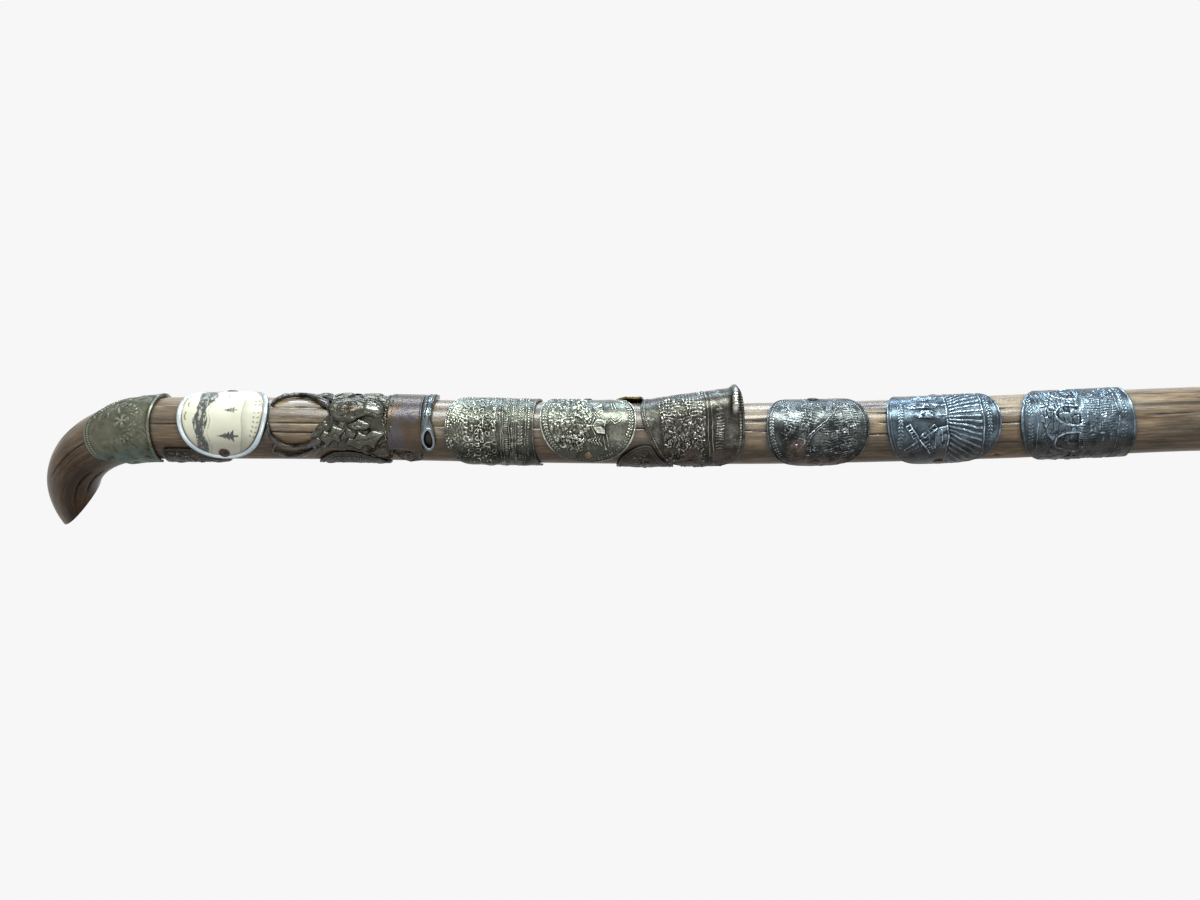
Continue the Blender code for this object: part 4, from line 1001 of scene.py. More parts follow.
def mitre_crook(bm):
    """Cuts the crook's end on the slant, from its outer tip back to its inner heel, and rounds the cut's edge."""
    tip = crook_point(CROOK_ANGLE, CROOK_RADIUS + CROOK_END_DIAMETER / 2)
    heel_radius = float(wood_radius(-CROOK_HEEL_ANGLE * CROOK_RADIUS))
    heel = crook_point(CROOK_HEEL_ANGLE, CROOK_RADIUS - heel_radius)
    facing = Vector((tip.z - heel.z, 0, heel.x - tip.x)) * -1
    near = []
    for face in bm.faces:
        middle = face.calc_center_median()
        bend = math.atan2(middle.z - BEND_HEIGHT, middle.x + CROOK_RADIUS)
        if bend > CROOK_HEEL_ANGLE - 0.1 and middle.z > BEND_HEIGHT:
            near.append(face)
    edges = each_once(edge for face in near for edge in face.edges)
    verts = each_once(vert for face in near for vert in face.verts)
    cut = bmesh.ops.bisect_plane(bm, geom=[*near, *edges, *verts], plane_co=tip, plane_no=facing,
                                 clear_outer=True)["geom_cut"]
    on_cut = [item for item in cut if isinstance(item, bmesh.types.BMVert)]
    bmesh.ops.remove_doubles(bm, verts=on_cut, dist=0.00004)
    rim = [edge for edge in bm.edges if edge.is_boundary]
    bmesh.ops.holes_fill(bm, edges=rim, sides=0)
    bmesh.ops.bevel(bm, geom=rim, offset=MITRE_ROUNDING / 3, offset_type="OFFSET", affect="EDGES", segments=3,
                    profile=0.5, material=-1, clamp_overlap=True)
    bmesh.ops.recalc_face_normals(bm, faces=bm.faces)


def wood_look(settings):
    """Varnished wood: short grain, pores, dark cracks, soiling and painted shadow by badges, painted shade below,
    darker crook.
    """
    look, tree, shader = new_look("varnished wood")
    straight = value_of(tree, "straight", "Vector")
    crack = value_of(tree, "crack")

    def grain(stretch, scale, detail, roughness):
        return noise(mapped(straight, (1.0, 1.0, stretch)), scale, detail, roughness)

    streak = grain(0.09, 460.0, 6.0, 0.62)
    fine = grain(0.07, 1900.0, 4.0, 0.65)
    pore = grain(0.055, 1700.0, 3.0, 0.55)
    broad = grain(0.12, 95.0, 3.0, 0.5)
    patch = grain(0.40, 110.0, 4.0, 0.60)
    place = node(tree, "SeparateXYZ")
    feed(place, {0: straight})
    # The crook is drawn darker and less glossy towards its end.
    grip = span(place.outputs[2], -0.012, -0.030)
    # Painted shade: the wood's lower side is drawn darker.
    under = span(place.outputs[1], 0.0005, -0.0090, 0.0, 0.72)
    topside = span(place.outputs[1], -0.0095, -0.0010)
    tone = mixture((streak, 0.46), (fine, 0.34), (broad, 0.32))
    colour = ramp(tone, ((0.47, settings.dark), (0.55, settings.middle), (0.64, settings.light)))
    for share, over_it, kind in (
            (span(patch, 0.42, 0.66, 0.0, 0.85), (1.20, 1.05, 0.80), "MULTIPLY"),
            (span(patch, 0.50, 0.34, 0.0, 0.85), (0.55, 0.51, 0.49), "MULTIPLY"),
            (span(pore, 0.38, 0.31, 0.0, 0.80), (0.022, 0.013, 0.008), "MIX"),
            # the crook drawn darker towards its end
            (maths("MULTIPLY", grip, 0.9), (0.60, 0.45, 0.27), "MULTIPLY"),
            # painted shade on the lower side
            (under, (0.46, 0.37, 0.27), "MULTIPLY"),
            # soiling and painted shadow beside the badges
            (maths("MULTIPLY", value_of(tree, "grime_and_shadow"), 0.75), (0.018, 0.012, 0.009), "MIX"),
            (crack, (0.008, 0.005, 0.004), "MIX")):
        colour = blend(share, colour, over_it, kind)
    gloss = maths("MULTIPLY", span(topside, 0.0, 1.0, 0.10, 0.52), span(grip, 0.0, 1.0, 1.0, 0.30))
    feed(shader, {
        "Base Color": colour,
        "Roughness": maths("ADD", span(broad, 0.3, 0.7, 0.24, 0.42), maths("MULTIPLY", crack, 0.4)),
        "Specular IOR Level": gloss,
        "Coat Weight": maths("MULTIPLY", topside, span(grip, 0.0, 1.0, 0.50, 0.06)),
        "Coat Roughness": 0.22,
        "Normal": bumped(maths("ADD", fine, maths("MULTIPLY", streak, 1.6)), 0.00016, 0.55),
    })
    return look


# Badges, from the crook down


def draw_crook_shield(r):
    """A small rosette between two sprays of leaves, in a beaded border, worn and scratched."""
    arc_side = fall(r.along, -9.0, 3.0) * rise(r.around, -9.0, 3.0)
    r.rough(3.2, 0.24, 3)
    r.rough(0.9, 0.08, 11, layers=2)
    r.rim(0.8, 0.18)
    r.edge_beads(1.35, 0.80, 0.34, 0.22, arc_side)
    gap = r.away(-8.4, 3.0)
    petals = np.arctan2(r.around - 3.0, r.along + 8.4)
    r.raise_to(0.30 * unit(1 - (gap / 2.6) ** 2) * (0.55 + 0.45 * np.cos(5 * petals)) * (gap > 0.7))
    r.dome(-8.4, 3.0, 0.8, 0.26)
    for side in (-1, 1):
        stem = course((-4.6, 3 + side * 1.0), (-5.6, 3 + side * 4.4), (-9.0, 3 + side * 7.0))
        gap, arc, sign = r.measure(stem)
        r.laurel(gap * sign, arc, 1.5, 2.0, 0.13)
    r.strokes(0.75, 0.11, 19, 26, (-18.0, 5.5), (-8.0, 16.0), 2.6, 1.3, 0.7)
    r.height += 0.22 * rise(r.along, -0.9, 0.6) * rise(r.around, 1.0, 3.0)
    scratches = np.random.RandomState(13)
    for _ in range(26):
        along, around = scratches.uniform(-8.0, -1.6), scratches.uniform(-6.5, 8.0)
        reach = scratches.uniform(1.0, 3.6)
        r.groove([(along, around), (along + reach, around - 1.3 * reach)], 0.22, scratches.uniform(0.03, 0.09))
    r.rough(1.3, 0.34, 15, rise(r.around, 7.0, 3.0), layers=2)
    r.height -= 0.9 * unit(1.6 - r.away(-9.2, -14.6) / 0.9)
    mottle = r.patch(3.0, 17, 0.50, 0.14)
    r.stain_and_painted_light = (0.9 * fall(r.around, -4.0, 4.0) + 0.6 * fall(r.inside, 2.0, 2.0) * (r.along < -8)
               + 0.22 * mottle)


class STICK_OT_crook_shield(bpy.types.Operator):
    """Builds the olive bronze shield that is bent over the crook"""

    bl_idname = "stick.crook_shield"
    bl_label = "Crook shield"

    def execute(self, context):
        add_badges([("crook_shield", CROOK_SHIELD, draw_crook_shield, 184, 280, "olive bronze", "bronze", {})])
        return {"FINISHED"}


# The cup's rim, how thick the cup and the print are drawn, and how high the print's underside lies
CUP_RIM = 0.0015
CUP_SHEET = 0.0007
PRINT_SHEET = 0.0005
PRINT_LOW = CLEARANCE + 0.0008


def draw_cup(r):
    r.height = 0.75 * unit(1 - ((r.inside - 0.85) / 0.95) ** 2) ** 0.5
    r.height = np.where(r.inside < 0.85, np.maximum(r.height, 0.35), r.height)
    r.rough(1.5, 0.08, 21)
    # Tarnish with painted shade: the rim is drawn darker on its lower side.
    r.stain_and_painted_light += 0.8 * fall(r.around, -4.0, 6.0) * fall(r.inside, 1.0, 0.5)


def print_colours(r, cream):
    """The printed picture: far wooded hills, two fir trees before a soft path, and a leafy border."""
    grain = r.lumps(1.3, 31)
    fleck = layered_noise(r.along, r.around * 0.45, 0.55, 33)
    crest = 14.6 + 0.5 * np.sin(r.around * 0.50 + 3.6) + 1.0 * (r.waver(1.3, 33) - 0.5)
    far_crest = 18.6 + 2.6 * rise(r.around, 4.0, 9.0) + 0.5 * np.sin(r.around * 0.8)
    pale = fall(fleck, 0.36, 0.06) + 0.6 * fall(grain, 0.34, 0.08)
    wisp = ease((r.along - far_crest - 0.2) / 0.3) * ease((far_crest + 1.0 - r.along) / 0.3)
    inks = [within(r.along, crest, far_crest, 0.4, 0.5) * np.clip(0.96 - 0.62 * pale, 0.2, 1.0),
            0.45 * wisp * rise(fleck, 0.45, 0.1)]
    for tip, middle, size in ((21.6, -2.6, 1.0), (23.6, 5.4, 0.62)):
        for height in (0.0, 1.3, 2.6, 3.9):
            half, top = (0.45 + 0.42 * height) * size, tip + height * size
            low = top + 1.8 * size
            fir = r.inside_of([(top, middle), (low, middle + half), (low, middle - half)])
            inks.append(ease(fir / 0.2 + 0.5) * 0.97)
        trunk = np.maximum(np.abs(r.around - middle) - 0.3 * size, np.abs(r.along - tip - 6.2 * size) - size)
        inks.append(ease(0.5 - trunk / 0.2) * 0.97)
    for along, around, reach in ((11.6, 3.6, 1.2), (12.2, 7.6, 1.0), (24.6, 11.0, 0.7)):
        tuft = r.measure([(along, around - reach), (along - 0.3, around), (along, around + reach)])[0]
        inks.append(0.8 * unit(1.4 - tuft / 0.22))
    gap, _, side = r.measure(course((31.0, 15), (30.2, 9), (29.8, 3), (30.0, -2), (28.6, -8)))
    inks += [0.42 * unit(1.2 - gap / 0.30), 0.26 * unit(1.0 - gap / 2.4) * (side > 0)]
    gap, arc, _ = r.measure(course((33.0, -3.6), (34.2, 1.0), (34.4, 5.6), (33.8, 10.6), (32.2, 14.8)))
    lean = (arc % 1.5) / 1.5 - 0.5 - 0.30 * np.abs(gap)
    leaf = np.abs(np.abs(gap) - 0.60) / 0.50 + np.abs(lean + 0.18) / 0.22
    inks.append(0.75 * unit(2.0 - 1.6 * leaf))
    rub = r.lumps(2.2, 35) + 0.5 * r.lumps(0.4, 37)
    ink = np.maximum.reduce(inks) * np.clip(2.3 - 1.6 * rub, 0.35, 1.0)
    age = 0.80 + 0.28 * r.lumps(6.0, 39)
    paper = np.array(cream)[None, None, :] * age[..., None]
    edge = ease(1 - r.inside / 1.4)[..., None]
    paper = paper * (1 - 0.35 * edge * np.array([0.5, 0.8, 1.0]))
    dark = np.array([0.020, 0.028, 0.031])
    painted = paper * (1 - ink[..., None]) + dark * ink[..., None]
    # Darker along the print's edge, more so on its lower side.
    edge_darkening = (ease(1.4 - r.inside / 0.35) * (0.5 + 0.5 * fall(r.around, 6.0, 8.0)))[..., None]
    return painted * (1 - edge_darkening) + np.array([0.060, 0.036, 0.018]) * edge_darkening


def draw_print(r):
    r.height = 0.22 * ease(r.inside / 4.0)
    r.picture = print_colours(r, bpy.context.scene.stick_badges.print_cream)


class STICK_OT_disc(bpy.types.Operator):
    """Builds the bright cup and the printed disc that is seated in it"""

    bl_idname = "stick.disc"
    bl_label = "Printed disc"

    def execute(self, context):
        add_badges([("disc_cup", DISC, draw_cup, 160, 176, "pale tin", "tin", {"thickness": CUP_SHEET})])
        inset = 2 * (CUP_RIM + CLEARANCE) - 0.0002
        outline = [((DISC.middle + a) / MM, (v + DISC.turn * DISC.radius) / MM)
                   for a, v in oval(DISC.length - inset, DISC.wrap - inset)]
        mesh = pressed_mesh(DISC, draw_print, 264, 296, outline, PRINT_LOW, PRINT_SHEET, wobble=0.5)
        add_piece("disc_print", mesh, print_look(), "print", ["badge_disc_print"])
        return {"FINISHED"}


def print_look():
    """Glossy faded print under a clear face."""
    look, tree, shader = new_look("cream print")
    scuff = noise(value_of(tree, "flat", "Vector"), 1500.0, 4.0, 0.65)
    faded = span(scuff, 0.55, 0.75, 0.0, 0.25)
    feed(shader, {
        "Base Color": blend(faded, value_of(tree, "picture", "Vector"), (0.50, 0.48, 0.40)),
        "Roughness": span(scuff, 0.3, 0.7, 0.16, 0.34),
        "Coat Weight": 0.5,
        "Coat Roughness": 0.08,
        "Normal": bumped(scuff, 0.00002, 0.5),
    })
    return look


# The openwork badge: a stag's head with its muzzle towards the plaque, among oak leaves, and its antlers round an
# open oval

STAG_PLATE = smooth_outline(
    [(52.0, -4.8), (54.6, 0.6), (57.6, 4.0), (56.0, 8.4), (52.6, 13.0), (53.0, 19.0), (60.0, 22.0), (70.0, 21.0),
     (78.2, 18.0), (78.4, 8.0), (78.4, -6.0), (78.4, -9.4), (76.4, -11.4), (72.6, -10.4), (66.0, -7.8),
     (58.0, -7.6)])
STAG_PLAQUE = smooth_outline([(77.6, 17.5), (76.9, 4.0), (77.2, -7.2), (88.4, -7.4), (88.0, 4.0), (88.6, 17.5)],
                             corners=(0, 2, 3, 5), steps=14)
STAG_RAIL = smooth_outline([(88.6, 17.5), (88.0, 4.0), (87.9, -4.4), (90.0, -7.8), (92.4, -5.0), (92.2, 0.0),
                            (91.2, 4.0), (92.6, 17.5)], corners=(0, 7), steps=14)
STAG_TAIL_LEAF = smooth_outline([(79.2, -7.6), (79.6, -10.6), (81.4, -12.2), (83.4, -13.4), (85.6, -12.9),
                                 (87.4, -12.2), (87.2, -9.8), (87.0, -7.7)])
STAG_HEAD = smooth_outline([(57.4, 7.4), (60.0, 10.2), (64.0, 11.2), (68.6, 9.8), (72.6, 9.4), (75.4, 7.2),
                            (75.6, 4.4), (73.0, 2.9), (69.4, 3.5), (66.2, 1.4), (62.0, 1.4), (58.6, 3.6)])
STAG_CHEEK = smooth_outline([(60.4, 5.2), (62.4, 8.6), (66.4, 8.8), (69.4, 6.8), (67.6, 3.8), (63.4, 2.2)])
STAG_MUZZLE = smooth_outline([(68.4, 6.4), (69.8, 9.2), (72.6, 9.2), (75.2, 7.0), (75.4, 4.6), (73.0, 3.2),
                              (69.8, 3.9)])
STAG_EAR = smooth_outline([(58.0, 9.6), (58.2, 13.2), (61.6, 16.4), (65.0, 15.0), (64.4, 12.4), (62.0, 10.6)])
# Oak leaves: outline, height, and the line of the middle vein
STAG_LEAVES = (
    ([(55.2, -4.0), (56.4, -1.4), (58.2, -1.6), (59.4, 0.6), (61.4, -0.2), (63.2, -1.2), (62.0, -3.0),
      (61.6, -5.2), (59.4, -5.0), (57.6, -6.4)], 0.95, [(55.8, -3.6), (59.0, -2.8), (62.6, -1.2)]),
    ([(63.0, -5.8), (64.0, -3.4), (66.2, -3.4), (67.8, -1.2), (70.0, -2.0), (72.2, -0.6), (76.2, -2.2),
      (74.2, -4.4), (72.8, -6.8), (70.0, -6.0), (67.2, -7.4), (65.2, -6.4)], 1.05,
     [(63.6, -5.2), (69.0, -4.2), (75.4, -2.4)]),
    ([(64.2, 0.6), (66.0, 2.6), (69.0, 2.4), (71.4, 0.9), (70.4, -0.7), (67.0, -1.0)], 0.95,
     [(64.8, 0.6), (70.6, 0.6)]),
    ([(70.8, -8.8), (72.6, -7.2), (75.8, -6.6), (77.6, -8.6), (76.2, -10.6), (73.4, -10.2)], 0.70,
     [(71.4, -8.8), (76.8, -8.6)]),
    ([(54.0, 11.8), (56.6, 14.2), (57.4, 18.0), (54.8, 19.4), (53.2, 15.4)], 0.75, [(54.4, 12.6), (55.6, 18.6)]),
    ([(66.6, 12.4), (69.4, 11.4), (72.4, 12.6), (74.4, 15.6), (72.8, 18.8), (69.8, 17.6), (67.2, 15.4)], 0.85,
     [(67.2, 12.8), (73.0, 17.8)]),
    ([(72.6, 10.2), (75.2, 9.6), (77.2, 11.4), (77.4, 14.4), (75.4, 14.0), (73.4, 12.6)], 0.75,
     [(73.2, 10.6), (77.0, 13.8)]),
    ([(59.2, 18.4), (63.4, 17.6), (68.0, 18.8), (67.2, 20.8), (62.0, 20.9)], 0.6, [(59.8, 19.2), (67.0, 19.8)]),
)
# Antlers: each bar's course as (along, around, width, height)
STAG_ANTLERS = (
    [(38.4, 1.2, 1.1, 0.55), (39.4, -3.2, 1.7, 0.85), (43.6, -6.8, 1.9, 0.95), (49.4, -6.6, 2.3, 1.0),
     (55.4, -4.2, 3.0, 0.95)],
    [(39.0, -9.2, 1.0, 0.3), (44.6, -11.4, 1.8, 0.55), (50.4, -9.6, 2.2, 0.7), (57.0, -6.0, 2.8, 0.8)],
    [(38.6, 7.8, 1.1, 0.6), (41.4, 12.2, 2.0, 0.9), (46.4, 14.4, 2.3, 1.0), (51.4, 12.8, 2.7, 1.05),
     (57.8, 7.2, 3.0, 1.1)],
    [(40.0, 17.4, 1.2, 0.45), (46.0, 20.6, 2.2, 0.7), (52.0, 20.6, 2.7, 0.8), (57.0, 18.6, 3.0, 0.8)],
    [(44.6, 14.0, 2.2, 0.5), (46.4, 17.0, 1.8, 0.45), (48.4, 20.8, 2.2, 0.5)],
    [(41.2, -5.4, 1.8, 0.8), (39.8, -7.0, 1.4, 0.6), (38.9, -9.3, 1.0, 0.4)],
    [(52.6, -5.4, 2.0, 0.8), (53.4, -8.4, 1.7, 0.65), (51.8, -10.6, 1.5, 0.55)],
    [(54.6, 12.6, 1.0, 0.6), (56.6, 11.6, 1.7, 0.9), (59.6, 8.6, 2.0, 1.15)],
)


def draw_stag_plate(r):
    """The stag's head with its ear among oak leaves, and pebbled ground beside the plaque."""
    r.rough(5.0, 0.30, 201)
    r.rough(1.6, 0.20, 203, layers=2)
    r.height += 0.40 * ease(1 - r.inside / 0.9)
    r.pebbles(0.95, 0.55, 205, ease((r.along - 74.8 - 0.08 * np.abs(r.around)) / 1.0))
    r.pebbles(2.2, 0.50, 207, r.patch(3.5, 209, 0.42, 0.1))
    for outline, height, vein in STAG_LEAVES:
        r.pillow(smooth_outline(outline, steps=4), height, 1.4)
        r.groove(vein, 0.55, 0.20)
        (a0, v0), (a1, v1) = vein[0], vein[-1]
        length = math.hypot(a1 - a0, v1 - v0)
        step_a, step_v = (a1 - a0) / length, (v1 - v0) / length
        for share in (0.3, 0.6):
            a, v = a0 + share * (a1 - a0), v0 + share * (v1 - v0)
            for side in (-1, 1):
                tip = (a + 1.6 * step_a - side * 1.3 * step_v, v + 1.6 * step_v + side * 1.3 * step_a)
                r.groove([(a, v), tip], 0.6, 0.12)
    r.pillow(STAG_EAR, 1.0, 1.1)
    r.groove([(59.4, 11.2), (61.0, 13.6), (63.6, 14.4)], 0.9, 0.45)
    r.pillow(STAG_HEAD, 1.15, 2.4)
    muzzle, cheek = (ease(r.inside_of(outline) / 1.8) for outline in (STAG_MUZZLE, STAG_CHEEK))
    r.height += 0.40 * muzzle + 0.45 * cheek
    r.ridge(course((59.0, 8.8), (61.6, 10.2), (64.8, 10.2), (68.4, 8.6), (71.6, 8.0)), 1.1, 0.34)
    r.ridge(course((60.0, 3.6), (63.4, 2.6), (66.4, 2.6), (69.6, 4.2)), 0.9, 0.20)
    r.strokes(0.55, -0.13, 211, 34, (58.6, 2.4), (64.6, 7.0), 2.2, 0.35, 0.35)
    r.groove(course((62.8, 7.4), (64.0, 8.6), (65.8, 8.4), (66.6, 7.4)), 0.55, 0.34)
    r.groove(course((62.8, 7.4), (64.2, 6.6), (66.6, 7.4)), 0.5, 0.26)
    r.dome(64.7, 7.6, 0.62, 1.95, 1.3, 0.1)
    r.groove(course((75.9, 4.9), (73.6, 4.0), (71.4, 4.4), (69.6, 5.2)), 0.50, 0.34)
    r.groove(course((74.8, 7.0), (74.0, 7.4), (73.5, 6.9)), 0.60, 0.40)
    r.rubbed_and_lit = 0.26 * muzzle - 0.16 * cheek
    # A brown cheek, light tarnish all over, and painted shade with tarnish on the lower side.
    r.stain_and_painted_light = 0.45 * cheek + 0.35 * fall(r.around, -3.0, 4) + 0.12


def draw_stag_plaque(r):
    r.rough(5.0, 0.22, 221)
    r.rough(1.2, 0.04, 223, layers=2)
    r.raise_to(0.18 * fall(r.along, 78.1, 0.6))
    r.edge_line(0.4, 0.8, 0.16)
    for start, end in (((80.2, 11.0), (84.6, 9.6)), ((79.4, -2.6), (82.6, -3.4)), ((83.0, 4.4), (86.8, 5.2))):
        r.groove([start, end], 0.22, 0.06)
    # Purple-grey tarnish in patches, and a painted purple-blue sheen on the upper side.
    r.stain_and_painted_light = 0.8 * r.patch(5.0, 225, 0.45, 0.2) + 0.25 * rise(r.around, 4, 4)


def draw_stag_rail(r):
    r.height = 0.32 * np.sin(unit(r.inside / 1.5) * math.pi / 2)
    r.rough(1.4, 0.18, 231)
    slot = smooth_outline([(89.3, -4.8), (90.2, -6.2), (91.2, -4.6), (91.0, -1.6), (90.2, -0.7), (89.3, -2.0)])
    ring = r.inside_of(slot)
    r.height += 0.22 * unit(1 - ((ring + 0.55) / 0.5) ** 2)
    r.height -= 1.2 * ease(ring / 0.35 + 0.5)
    r.ridge([(91.6, 16), (90.6, 8), (90.2, 3.4), (89.4, 0.4)], 0.7, 0.22)
    r.groove([(90.2, 16), (89.4, 8), (89.2, 3.4)], 0.5, 0.28)
    r.rubbed_and_lit = 0.34 * unit(r.height / 0.45)
    r.stain_and_painted_light += 0.12


def draw_stag_tail_leaf(r):
    r.rough(2.0, 0.12, 241)
    r.rim(0.6, 0.16)
    r.ridge([(83.4, -12.8), (83.0, -8.0)], 0.6, 0.26)
    for number in range(4):
        v = -12.2 + 1.1 * number
        for side in (-1, 1):
            r.ridge([(83.3, v), (83.3 + side * 2.6, v + 1.0)], 0.45, 0.20)
    r.stain_and_painted_light += 0.45


BAR_SIDES = 24


def swept_bars(badge, courses):
    """Rounded bars that follow courses of (along, around, width, height) in the drawing, wrapped onto the stick."""
    bm = bmesh.new()
    turns = np.linspace(0, 2 * math.pi, BAR_SIDES, endpoint=False)
    values = []
    for number, points in enumerate(courses):
        rows = np.array(smooth_course(points, 12))
        steps = np.gradient(rows[:, :2], axis=0)
        steps /= np.hypot(steps[:, 0], steps[:, 1])[:, None]
        count = np.arange(len(rows))
        knots = layered_noise(count, number * 5.0, 4.0, 251)
        ends = np.minimum(1.0, 0.35 + np.minimum(count, count[::-1]) / 4.0)
        halves = rows[:, 2] / 2 * (0.66 + 0.46 * knots) * ends
        heights = rows[:, 3] * (0.68 + 0.56 * knots) * ends
        edges = None
        for row, step, half, height in zip(rows, steps, halves, heights):
            along = row[0] - step[1] * half * np.cos(turns)
            around = row[1] + step[0] * half * np.cos(turns)
            crown = unit(np.sin(turns)) ** 0.6 * (0.90 + 0.10 * np.cos(5 * turns + 1.5 * row[0]))
            swell = np.where(np.sin(turns) > 0, crown * (height * MM + SHEET / 2), np.sin(turns) * SHEET / 2)
            placed = badge.place(along, around, CLEARANCE + SHEET / 2 + swell)
            if edges is None:
                ring = bmesh.ops.create_circle(bm, segments=BAR_SIDES, radius=0.001)["verts"]
                edges = each_once(edge for vert in ring for edge in vert.link_edges)
                bmesh.ops.holes_fill(bm, edges=edges, sides=0)
            else:
                grown = bmesh.ops.extrude_edge_only(bm, edges=edges)["geom"]
                ring = [item for item in grown if isinstance(item, bmesh.types.BMVert)]
                edges = [item for item in grown if isinstance(item, bmesh.types.BMEdge)]
            for vert, point in zip(ring, placed):
                vert.co = point
            values += list(np.stack([along, around, np.sin(turns)], axis=-1))
        bmesh.ops.holes_fill(bm, edges=edges, sides=0)
    bmesh.ops.recalc_face_normals(bm, faces=bm.faces)
    mesh = as_mesh(bm, "bars")
    values = np.array(values)
    speck = layered_noise(values[:, 0], values[:, 1], 1.2, 261)
    write_values(mesh, "relief", unit(0.30 + 0.34 * values[:, 2] ** 3 + 0.5 * (speck - 0.5)))
    write_values(mesh, "stain_and_painted_light", 0.25 + 0.5 * speck)
    write_values(mesh, "flat", values * MM)
    return mesh


class STICK_OT_stag(bpy.types.Operator):
    """Builds the openwork badge with the stag's head, its antlers and its bare plaque"""

    bl_idname = "stick.stag"
    bl_label = "Stag badge"

    def execute(self, context):
        sheets = (
            ("stag_plate", STAG_PLATE, draw_stag_plate, 208, 256, "stag's silver", 0.0),
            ("stag_plaque", STAG_PLAQUE, draw_stag_plaque, 88, 184, "copper plaque", 0.0005),
            ("stag_rail", STAG_RAIL, draw_stag_rail, 48, 200, "antlers' silver", 0.0006),
            ("stag_tail_leaf", STAG_TAIL_LEAF, draw_stag_tail_leaf, 64, 56, "stag's silver", 0.0002),
        )
        looks = add_badges([(name, STAG, draw, columns, lines, metal, "pewter",
                             {"outline": outline, "thickness": SHEET + thicker, "contrast": 0.9})
                            for name, outline, draw, columns, lines, metal, thicker in sheets])
        bars = swept_bars(STAG, STAG_ANTLERS)
        add_piece("stag_antlers", bars, looks["antlers' silver"], "pewter", ["badge_stag"])
        return {"FINISHED"}


def draw_town(r):
    """Rows of small gabled houses among trees, ploughed strips and a leafy band, in a beaded edge."""
    r.blank(7.0, 0.34, 101, 0.12, 0.5, 0.16)
    start = fall(r.along, 106, 3)
    r.edge_beads(1.05, 0.70, 0.29, 0.22, start)
    r.edge_line(1.75, 0.26, 0.14, start)
    r.pebbles(0.62, 0.20, 105, fall(r.along, 102.4, 1.6))
    houses = np.random.RandomState(109)
    for base in (102.9, 104.5, 106.2, 107.9, 109.7, 111.5):
        v = -14.0
        while v < 20.0:
            half, tall = houses.uniform(0.45, 0.85), houses.uniform(0.5, 1.2)
            low = base + houses.uniform(-0.35, 0.35)
            v += half
            walls = r.house(low, v, half, tall, half, houses.uniform(-0.05, 0.12))
            r.ridge([*walls, walls[0]], 0.52, houses.uniform(0.06, 0.27))
            v += half + houses.choice((0.1, 0.3, 0.9))
    r.strokes(0.34, 0.16, 111, 170, (101.0, -14.0), (112.8, 19.0), 1.5, 1.2, 0.9)
    for number, along in enumerate((113.3, 114.1, 116.2, 117.0, 118.1, 121.3)):
        r.band_line(along, 0.34, 0.20, 113 + number)
    r.hatch(114.4, 115.8, 0.62, 0.14, 119)
    gap = r.along - 119.7 - 0.0022 * (r.around - 3) ** 2
    r.laurel(gap, r.around + 40, 1.10, 1.5, 0.22)
    for along, pitch, radius, height in ((122.3, 0.86, 0.36, 0.20), (117.5, 0.72, 0.30, 0.18)):
        r.beads(np.abs(r.along - along), r.around + 40, pitch, radius, height)
    r.worn_twice(3.5, 0.40, 117)
    # Painted highlight on the upper corner by the crook; a stain at the lower corner; painted shade along the lower
    # side.
    r.rubbed_and_lit = 0.09 * fall(r.along, 103.5, 4) * rise(r.around, -1, 5) - 0.04 * rise(r.along, 106, 4)
    r.stain_and_painted_light = 0.95 * ease(1 - r.away(98.5, -7.5, 2.6, 5.0)) + 0.7 * fall(r.around, -9.0, 5.0) + 0.12


def draw_round(r):
    """A wooded ridge over a chapel, a hut and a winding path on a bare meadow, in a leafy ring."""
    r.rough(6.0, 0.28, 121)
    r.rough(0.9, 0.05, 123, layers=2)
    r.rim(0.55, 0.24)
    r.laurel(r.inside - 1.65, r.arc, 1.15, 1.40, 0.22)
    inner = rise(r.inside, 2.7, 0.4)
    foot = 143.2 - 0.03 * (r.around - 5) ** 2 + 2.4 * (r.waver(3.0, 125) - 0.5)
    slope = ease((foot - r.along) / 0.5) * inner
    r.height += 0.10 * slope
    r.crumple(0.10, 131)
    r.pebbles(1.30, 0.26, 127, slope * ease((foot - r.along - 1.2) / 0.6))
    r.pebbles(0.64, 0.20, 129, slope)
    for low, middle, half, tall in ((147.4, 1.9, 2.5, 2.6), (146.6, 9.4, 1.4, 1.3)):
        r.house(low, middle, half, tall, 1.5, 0.34)
        r.house(low - 0.2, middle, 0.4, 0.9, 0.0, -0.22)
    for stroke in ([(144.2, -1.0), (142.9, 1.9), (144.2, 4.8)], [(143.2, 1.9), (141.2, 1.9)],
                   [(145.2, 7.6), (143.6, 9.4), (145.2, 11.2)], [(147.4, -5.6), (146.8, -1.4)],
                   [(148.4, -4.6), (147.8, -0.8)], [(149.6, 8.8), (149.2, 12.2)], [(150.6, 8.0), (150.2, 11.4)]):
        r.ridge(stroke, 0.50, 0.30)
    for tip, middle in ((141.6, -2.8), (142.0, 6.4)):
        r.fir(tip, middle, 5, 0.95, 0.40, 0.30)
    r.strokes(0.34, 0.16, 133, 60, (132.0, -6.0), (143.0, 15.0), 1.5, 1.3, 1.0)
    for edge in (0.0, 1.1):
        path = course((147.0, 2.0 + edge), (148.8, 4.4 + edge), (150.4, 3.0 + edge), (152.6, 4.6 + edge))
        r.ridge(path, 0.40, 0.22)
    r.worn_twice(4.0, 0.55, 135)
    r.rubbed_and_lit = 0.22 * ease(1.2 - r.inside / 0.55) - 0.02 * slope
    # Tarnish with painted shade along the lower side, most towards the crook.
    r.stain_and_painted_light = 0.9 * fall(r.around, -4.6, 3.0) * (r.along < 145) + 0.55 * fall(r.around, -7, 4) + 0.08


FLARE_RISE = 0.0048


